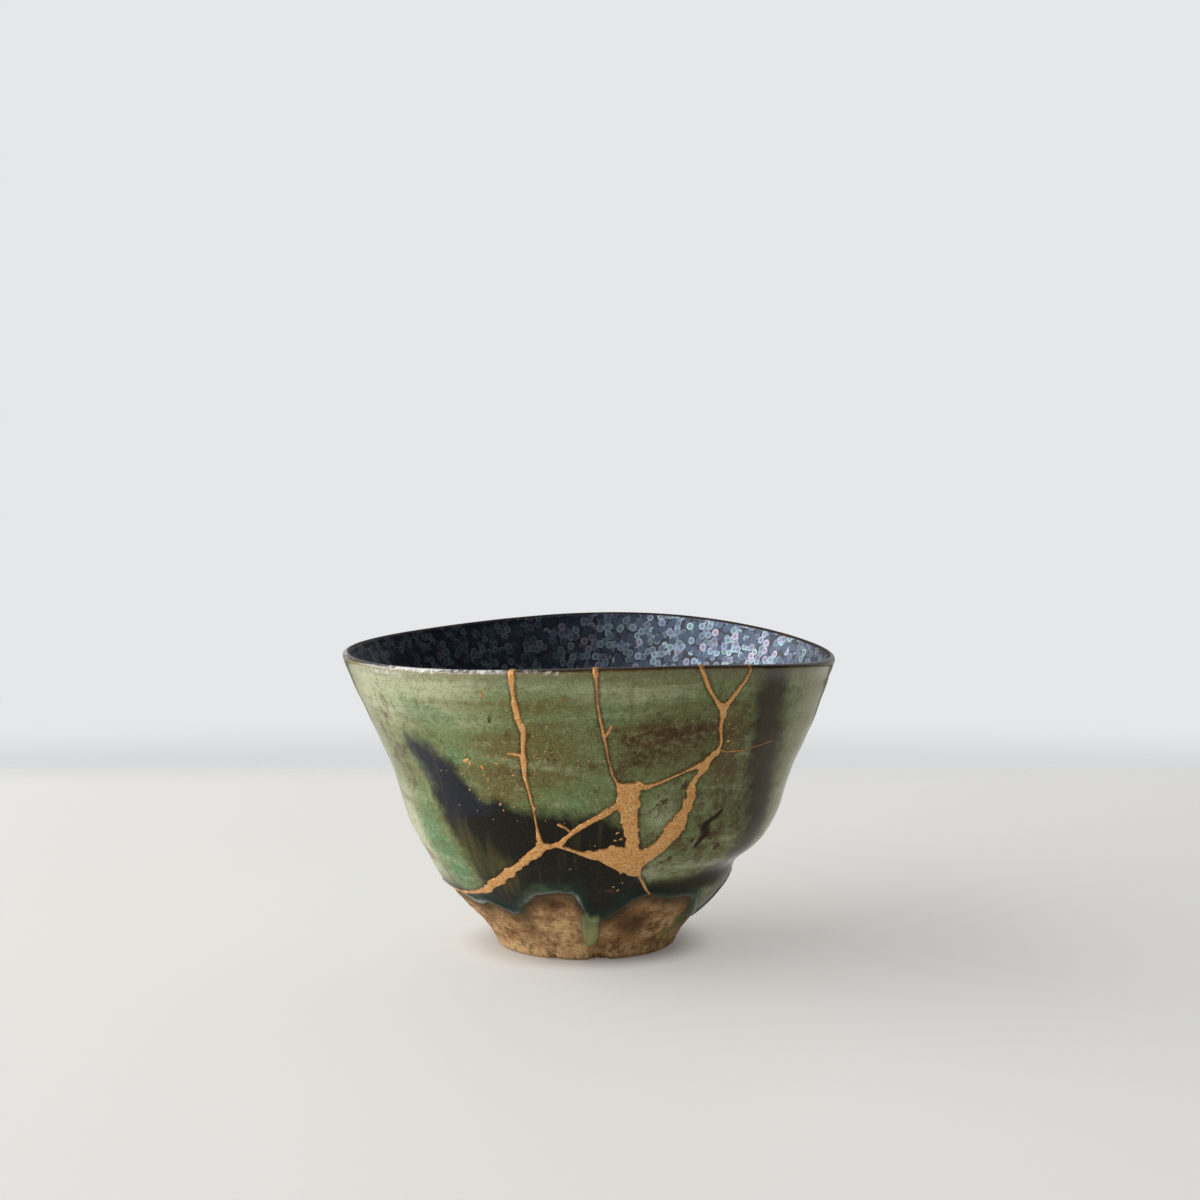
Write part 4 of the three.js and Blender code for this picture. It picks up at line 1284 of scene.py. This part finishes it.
def oil_spot_glaze(colours, spot_size):
    """Oil-spot glaze, iron-saturated and fired until it boils into silvery discs. It gives a
    near-black ground scattered with pale iridescent rings that flash on the lit side; the rings'
    pale rims round darker middles are a painted glint ring."""
    material, tree, reads = start_finish("Oil-spot iron glaze", ["ring_way", "lip_way"], [
        ("break_up", "place", None, 0.5, 3, 0.5), ("drift", "place", None, 9, 3, 0.5)])
    around = add(tree, "SeparateXYZ", {"Vector": reads["ring_way"]})
    turn = add(tree, "Math", {0: around.outputs["X"], 1: around.outputs["Y"]},
               operation="ARCTAN2")
    arc = add(tree, "Math", {0: turn, 1: UPPER_RADIUS * MM}, operation="MULTIPLY")
    unrolled = add(tree, "CombineXYZ", {"X": arc, "Y": around.outputs["Z"]})
    depth = add(tree, "Math", {0: reads["drift"], 1: 40.0, 2: reads["lip_way"]},
                operation="MULTIPLY_ADD")
    low_down = add(tree, "MapRange", {"Value": depth, "From Min": -4.0, "From Max": -4.2})
    shade, discs = colours["ground"], []
    for shift, share in DISC_GENERATIONS:
        away, lot = disc_patterns(
            tree, unrolled, reads["place"], low_down, shift, spot_size * share)
        shade, disc = disc_layer(tree, colours, shade, away, lot)
        discs.insert(0, disc)
    shine = add(tree, "Math", dict(enumerate(discs)), operation="MAXIMUM")
    shade = lay_colours(tree, reads, colours, shade, [
        ("lip_way", "break_up", 1.0, -1.5, -0.9, "lip", 0.97)])
    metal = add(tree, "MapRange", {"Value": shine, "To Min": 0.55, "To Max": 0.85})
    rough = add(tree, "MapRange", {"Value": reads["break_up"], "To Min": 0.34, "To Max": 0.5})
    relief = add(tree, "Bump", {"Strength": 0.25, "Distance": 0.15 * MM, "Height": shine})
    return end_finish(material, {
        "Base Color": shade, "Metallic": metal, "Roughness": rough, "IOR": 1.55,
        "Normal": relief})


def broken_clay(colours):
    """Fractured stoneware body, vitrified and grainy. It gives the sherds' hidden edges a
    dry, warm brown face."""
    material, tree, reads = start_finish(
        "Fractured stoneware body", grains=[("tooth", "place", None, 1.2, 5, 0.7)])
    shade = lay_colours(tree, reads, colours, colours["clay"], [
        ("tooth", "tooth", 0.2, 0.5, 0.7, "pale_clay", 0.8)])
    relief = add(tree, "Bump", {
        "Strength": 0.5, "Distance": 0.4 * MM, "Height": reads["tooth"]})
    return end_finish(material, {"Base Color": shade, "Roughness": 0.85, "Normal": relief})


# Powder grains are far finer than this; 0.42 mm is the smallest that still shows.
GOLD_GRAINS = [("powder", "place", None, 0.42, 2, 0.6), ("cloudy", "place", None, 1.6, 3, 0.6)]
GOLD_LAYERS = [
    # Pale gold on the crumple's high places and as bright grains: partly rubbed gold, partly
    # painted highlight and glints.
    ("cloudy", "powder", 1.2, 0.42, 0.68, "rubbed_gold_and_glint", 0.8),
    ("cloudy", "powder", 0.8, 0.45, 0.3, "gold_deep", 0.3),
    ("powder", "cloudy", 0.2, 0.5, 0.64, "gold_deep", 0.8),
    ("powder", "cloudy", 0.2, 0.46, 0.34, "rubbed_gold_and_glint", 0.6),
    ("from_edge", "powder", 0.3, -0.3, 0.0, "gold_deep", 0.7),
]
GOLD_ROUGH_SPREAD = 0.12


def powdered_gold(colours, roughness):
    """Gold powder dusted on wet lacquer and burnished. It gives a soft, sandy metal with a warm
    orange depth where the powder is thin, darker at the seams' edges. Its pale patches and grains
    are partly rubbed gold and partly a painted highlight and glints."""
    material, tree, reads = start_finish(
        "Burnished gold powder on lacquer", ["gold_depth"], GOLD_GRAINS)
    reads["from_edge"] = add(
        tree, "Math", {0: reads["gold_depth"], 1: -1.0}, operation="MULTIPLY")
    shade = lay_colours(tree, reads, colours, colours["gold"], GOLD_LAYERS)
    rough = add(tree, "MapRange", {
        "Value": reads["powder"], "To Min": roughness - GOLD_ROUGH_SPREAD,
        "To Max": roughness + GOLD_ROUGH_SPREAD})
    crumple = add(tree, "Bump", {
        "Strength": 0.6, "Distance": 0.5 * MM, "Height": reads["cloudy"]})
    relief = add(tree, "Bump", {
        "Strength": 0.2, "Distance": 0.12 * MM, "Height": reads["powder"], "Normal": crumple})
    return end_finish(material, {
        "Base Color": shade, "Metallic": 0.5, "Roughness": rough, "Normal": relief})


TABLE_FADE = (0.215, 0.29)      # metres back, where the table melts into the wall
# A painted contact shadow: the glow is cut back under the foot, out to this reach and down to
# this share.
CONTACT_SHADOW_REACH = (0.021, 0.035)     # metres from the foot's middle, where the glow comes back
CONTACT_SHADOW_GLOW = 0.3                 # share of the glow that is left under the foot


def studio_table(colour, glow, roughness):
    """Satin laminate table top with a painted glow from within that lifts its shadows. It gives a
    pale ground with thin shadows and a faint blurred reflection, and melts into the wall behind
    between two distances back."""
    material, tree, reads = start_finish("Satin white table")
    parts = add(tree, "SeparateXYZ", {"Vector": reads["place"]})
    solid = add(tree, "MapRange", {
        "Value": parts.outputs["Y"], "From Min": TABLE_FADE[1], "From Max": TABLE_FADE[0]},
        interpolation_type="SMOOTHERSTEP")
    # The glow dies away under the foot, a painted contact shadow: the bowl sits in a thin dark
    # line.
    about_foot = add(tree, "Mapping", {
        "Vector": reads["place"], "Location": (-FOOT_PLACE[0], -FOOT_PLACE[1], 0),
        "Scale": (1, 1, 0)})
    away = add(tree, "VectorMath", {0: about_foot}, operation="LENGTH")
    lit = add(tree, "MapRange", {
        "Value": away, "From Min": CONTACT_SHADOW_REACH[0], "From Max": CONTACT_SHADOW_REACH[1],
        "To Min": glow * CONTACT_SHADOW_GLOW, "To Max": glow}, interpolation_type="SMOOTHSTEP")
    return end_finish(material, {
        "Base Color": colour, "Roughness": roughness, "Alpha": solid,
        "Emission Color": colour, "Emission Strength": lit})


# ------------------------------------------------------------------ settings a user changes

def number_property(name, default, description, **settings):
    """A number of no less than 0."""
    return bpy.props.FloatProperty(
        name=name, description=description, default=default, **{"min": 0, **settings})


def length_property(name, millimetres, description):
    """A length, given in mm."""
    return number_property(name, millimetres * MM, description, soft_max=0.01, precision=5,
                           subtype="DISTANCE", unit="LENGTH")


def power_property(name, watts, description):
    """A light's power."""
    return number_property(name, watts, description, unit="POWER")


def share_property(name, default, description, **settings):
    """A share up to 1."""
    return number_property(name, default, description, max=1, subtype="FACTOR", **settings)


def colour_property(name, hex_colour, description):
    """A colour, given as sRGB hex."""
    return bpy.props.FloatVectorProperty(
        name=name, description=description, subtype="COLOR", size=4, min=0, max=1,
        default=(*linear(hex_colour), 1))


class BowlSizes(bpy.types.PropertyGroup):
    """Low relief of the pot's skin."""
    unevenness: length_property("Unevenness", 0.3, "How far the hand-thrown wall wanders")
    throwing_ridges: length_property("Throwing ridges", 0.1, "Depth of the thrown rings")
    glaze_thickness: length_property("Glaze thickness", 0.35, "Glaze at its lower edge")
    drip_thickness: length_property("Drip thickness", 0.9, "Height of the drip on the foot")
    spot_size: length_property("Oil spots", 2.2, "Spacing of the silvery discs inside")
    gloss: share_property("Glaze roughness", 0.2, "Mean roughness of the outer glaze")


class GlazeColours(bpy.types.PropertyGroup):
    """Colours of the glazes and clay."""
    moss: colour_property("Moss", "#7f8a5e", "Main green of the outer glaze")
    fern: colour_property("Fern", "#6e7e4b", "Second green that drifts through the first")
    celadon: colour_property("Celadon", "#bfc49d", "Pale green where the glaze is thick")
    teal: colour_property("Teal", "#558a5e", "Blue-green of glassy hollows")
    # Thin glaze; also the colour of the painted sheen along the outline and of the drip's painted
    # highlight.
    olive: colour_property("Olive", "#6e6336", "Yellow-brown of thin glaze")
    straw_and_sheen: colour_property("Straw", "#a59a6c", "Thin pale glaze just under the lip")
    loam: colour_property("Loam", "#604930", "Brown cloudiness in the green")
    umber: colour_property("Umber", "#4e3922", "Brown of iron specks and blotches")
    iron: colour_property("Iron", "#2b1a10", "Darkest iron specks")
    night: colour_property("Night", "#100d0d", "Black-brown of the broad dark flow")
    navy: colour_property("Navy", "#242838", "Blue cast on the dark flow")
    run: colour_property("Dark run", "#392b1e", "Brown of the run at the right")
    rust: colour_property("Rust", "#8a5a38", "Reddish breaks")
    # Partly a painted highlight under the lip.
    milk: colour_property("Milk", "#f0efe6", "White breaks under the lip")
    pool: colour_property("Pool", "#20322a", "Dark glass above the lower edge")
    glass: colour_property("Glass edge", "#8b9691", "Pale bluish line of the lower edge")
    drip: colour_property("Drip", "#8a9560", "Yellow-green run on the foot")
    lip: colour_property("Lip", "#33241a", "Iron brown of the lip")
    clay: colour_property("Clay", "#9c754f", "Bare stoneware")
    pale_clay: colour_property("Pale clay", "#dab582", "Ochre on the clay's high places")
    dark_clay: colour_property("Dark clay", "#553823", "Brown in the clay's hollows")
    ground: colour_property("Oil-spot ground", "#2b2d34", "Black between the inner discs")
    # The darker middle of each disc, inside its painted glint ring.
    spot_core: colour_property("Disc core", "#3c4556", "Centre of an inner disc")
    spot_blue: colour_property("Disc blue", "#8592a8", "Bluish discs")
    spot_mint: colour_property("Disc mint", "#8ba3a0", "Greenish discs")
    spot_rose: colour_property("Disc rose", "#9b93a3", "Pinkish discs")


class GoldSettings(bpy.types.PropertyGroup):
    """The gold mend."""
    bead_height: length_property("Bead height", 0.26, "How far the gold stands over the glaze")
    bead_edge: length_property("Bead edge", 0.45, "Width of the gold's rounded edge")
    fleck_count: bpy.props.IntProperty(
        name="Flecks", description="Scattered specks of gold powder", default=90, min=0, max=400)
    roughness: share_property("Roughness", 0.42, "Mean roughness of the gold", min=0.15)
    gold: colour_property("Gold", "#dc9b50", "Burnished gold")
    # Partly a painted highlight and glints on the gold.
    rubbed_gold_and_glint: colour_property("Light gold", "#f6cf94", "Rubbed high places")
    gold_deep: colour_property("Deep gold", "#96591f", "Thin powder over lacquer")


class StudioSettings(bpy.types.PropertyGroup):
    """Table, wall and lights."""
    key_power: power_property("Window", 34, "Large soft light from the left")
    edge_power: power_property("Window edge", 5, "Bright strip, for crisp highlights")
    back_power: power_property("Wall", 7, "Broad light from the wall behind")
    top_power: power_property("Ceiling", 5, "Soft light from above")
    room: number_property("Room", 0.04, "Brightness of the room all round")
    table_glow: number_property("Table glow", 0.62, "Light from within the table")
    table_roughness: share_property("Table roughness", 0.5, "Blur of the table's reflection")
    table: colour_property("Table", "#c5c4c0", "Table top")
    wall: colour_property("Wall", "#e6e7e9", "Wall behind")
    # Painted shade at the foot of the wall.
    wall_foot: colour_property("Wall foot", "#d6d7d9", "Wall behind where it meets the table")


def colour_table(*groups):
    """Every colour of the property groups by name, as lists of four."""
    return {key: list(getattr(group, key)) for group in groups
            for key in type(group).__annotations__ if hasattr(getattr(group, key), "__len__")}


def pot_materials(scene):
    """The pot's three finishes in the order of the faces' kinds, made once a run."""
    sizes = scene.tea_bowl_sizes
    colours = colour_table(scene.tea_bowl_glaze)
    return [ash_glaze(colours, sizes.gloss), oil_spot_glaze(colours, sizes.spot_size / MM),
            broken_clay(colours)]


# ------------------------------------------------------------------ operators

class BuildBody(bpy.types.Operator):
    """Build the glazed body of the bowl: foot, belly and every wall that isn't a sherd"""
    bl_idname = "tea_bowl.body"
    bl_label = "Glazed body"

    def execute(self, context):
        remove_piece("glazed_body")
        pot_piece("glazed_body", "bowl_body", 0, context.scene.tea_bowl_sizes,
                  pot_materials(context.scene))
        return {"FINISHED"}


class BuildSherds(bpy.types.Operator):
    """Build the five glazed sherds, set back in their places in the wall"""
    bl_idname = "tea_bowl.sherds"
    bl_label = "Glazed sherds"

    def execute(self, context):
        body = bpy.data.objects.get("glazed_body")
        materials = list(body.data.materials) if body else pot_materials(context.scene)
        for number, node in enumerate(SHERDS, 1):
            remove_piece(f"glazed_{node}")
            pot_piece(f"glazed_{node}", node, number, context.scene.tea_bowl_sizes, materials)
        return {"FINISHED"}


class BuildGold(bpy.types.Operator):
    """Build the gold seams through the wall and the specks of gold on the glaze"""
    bl_idname = "tea_bowl.gold"
    bl_label = "Gold mend"

    def execute(self, context):
        sizes, gold = context.scene.tea_bowl_sizes, context.scene.tea_bowl_gold
        material = powdered_gold(colour_table(gold), gold.roughness)
        for name in ("mended_gold_seams", "mended_gold_flecks"):
            remove_piece(name)
        gold_seams_piece("mended_gold_seams", "gold_seams", sizes, gold, material)
        gold_flecks_piece("mended_gold_flecks", sizes, gold, material)
        return {"FINISHED"}


# Name, place in metres, point it faces, width and depth, power property.
LIGHTS = [
    ("Window light", (-1.3, -0.1, 0.8), (0, 0, 0.04), (3.0, 1.7), "key_power"),
    ("Window edge light", (-1.2, -0.05, 0.62), (0, 0, 0.07), (2.0, 0.1), "edge_power"),
    ("Wall light", (0, 1.5, 0.7), (0, 0, 0.05), (3.6, 2.2), "back_power"),
    ("Ceiling light", (0.2, 0.3, 1.7), (0, 0, 0), (2.2, 2.2), "top_power"),
]
CAMERA_PLACE = (0.0028, -0.6494, 0.15605)
CAMERA_PITCH = 83.99        # degrees up from straight down
CAMERA_LENS, CAMERA_SENSOR = 77.4, 36
CAMERA_CLIP = (0.01, 20)
TABLE_HALF_WIDTH, TABLE_FRONT, TABLE_BACK = 3.0, -3.0, 0.5      # metres
ROOM_COLOUR = (0.95, 0.98, 1.0, 1)
# The darker foot of the wall is painted shade.
WALL_FADE = (-0.168, -0.148)    # slope of view over which the wall darkens to its foot


def lay_table(scene, studio, colours):
    """The table top, a flat sheet under the bowl."""
    x, front, back = TABLE_HALF_WIDTH, TABLE_FRONT, TABLE_BACK
    mesh = bpy.data.meshes.new("Table")
    mesh.from_pydata(
        [(-x, front, 0), (x, front, 0), (x, back, 0), (-x, back, 0)], [], [(0, 1, 2, 3)])
    mesh.materials.append(
        studio_table(colours["table"], studio.table_glow, studio.table_roughness))
    table = bpy.data.objects.new("Table", mesh)
    scene.collection.objects.link(table)


def hang_lights(scene, studio):
    """The four soft lights, each turned to the point it faces and unseen by the camera."""
    for name, place, target, size, power in LIGHTS:
        lamp = bpy.data.lights.new(name, "AREA")
        lamp.shape, lamp.size, lamp.size_y = "RECTANGLE", *size
        lamp.energy = getattr(studio, power)
        light = bpy.data.objects.new(name, lamp)
        light.location = place
        way = Vector(target) - Vector(place)
        light.rotation_euler = way.to_track_quat("-Z", "Y").to_euler()
        light.visible_camera = False
        scene.collection.objects.link(light)


def paint_room(scene, studio, colours):
    """A dim room all round. Seen directly it is the pale wall, with a painted shade darkening it
    down where the table ends."""
    world = bpy.data.worlds.new("Room")
    world.use_nodes = True
    tree = world.node_tree
    tree.nodes.clear()
    seen = add(tree, "LightPath").outputs["Is Camera Ray"]
    room = add(tree, "Background", {"Color": ROOM_COLOUR, "Strength": studio.room})
    way = add(tree, "SeparateXYZ", {"Vector": add(tree, "TexCoord").outputs["Generated"]})
    rise = add(tree, "MapRange", {
        "Value": way.outputs["Z"], "From Min": WALL_FADE[0], "From Max": WALL_FADE[1]},
        interpolation_type="SMOOTHSTEP")
    shade = add(tree, "Mix", {
        0: rise, 6: colours["wall_foot"], 7: colours["wall"]}, data_type="RGBA")
    wall = add(tree, "Background", {"Color": shade, "Strength": 1.0})
    both = add(tree, "MixShader", {0: seen, 1: room, 2: wall})
    add(tree, "OutputWorld", {"Surface": both})
    scene.world = world
    scene.view_settings.view_transform = "Standard"


def place_camera(scene):
    """The camera, level but for its pitch."""
    lens = bpy.data.cameras.new("Camera")
    lens.lens, lens.sensor_width = CAMERA_LENS, CAMERA_SENSOR
    lens.clip_start, lens.clip_end = CAMERA_CLIP
    camera = bpy.data.objects.new("Camera", lens)
    camera.location = CAMERA_PLACE
    camera.rotation_euler = (math.radians(CAMERA_PITCH), 0, 0)
    scene.collection.objects.link(camera)
    scene.camera = camera


class BuildStudio(bpy.types.Operator):
    """Build the pale table, the wall's glow, soft lights and the camera"""
    bl_idname = "tea_bowl.studio"
    bl_label = "Studio"

    def execute(self, context):
        scene, studio = context.scene, context.scene.tea_bowl_studio
        colours = colour_table(studio)
        for name in ("Table", "Camera", *(light[0] for light in LIGHTS)):
            remove_piece(name)
        lay_table(scene, studio, colours)
        hang_lights(scene, studio)
        paint_room(scene, studio, colours)
        place_camera(scene)
        return {"FINISHED"}


class TeaBowlPanel(bpy.types.Panel):
    """Lists the bowl's settings and the steps that build it"""
    bl_idname = "VIEW3D_PT_tea_bowl"
    bl_label = "Kintsugi Tea Bowl"
    bl_space_type = "VIEW_3D"
    bl_region_type = "UI"
    bl_category = "Tea Bowl"

    def draw(self, context):
        for group, _, operators in SECTIONS:
            box = self.layout.box()
            settings = getattr(context.scene, group)
            for key in type(settings).__annotations__:
                box.prop(settings, key)
            for operator in operators:
                box.operator(operator.bl_idname)


SECTIONS = [
    ("tea_bowl_sizes", BowlSizes, [BuildBody, BuildSherds]),
    ("tea_bowl_glaze", GlazeColours, []),
    ("tea_bowl_gold", GoldSettings, [BuildGold]),
    ("tea_bowl_studio", StudioSettings, [BuildStudio]),
]
CLASSES = [BowlSizes, GlazeColours, GoldSettings, StudioSettings, BuildBody, BuildSherds,
           BuildGold, BuildStudio, TeaBowlPanel]


def register():
    for item in CLASSES:
        bpy.utils.register_class(item)
    for name, group, _ in SECTIONS:
        setattr(bpy.types.Scene, name, bpy.props.PointerProperty(type=group))


def unregister():
    for name, _, _ in SECTIONS:
        delattr(bpy.types.Scene, name)
    for item in reversed(CLASSES):
        bpy.utils.unregister_class(item)


def main():
    """Registers the add-on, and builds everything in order."""
    register()
    bpy.ops.tea_bowl.studio()
    bpy.ops.tea_bowl.body()
    bpy.ops.tea_bowl.sherds()
    bpy.ops.tea_bowl.gold()


if __name__ == "__main__":
    main()
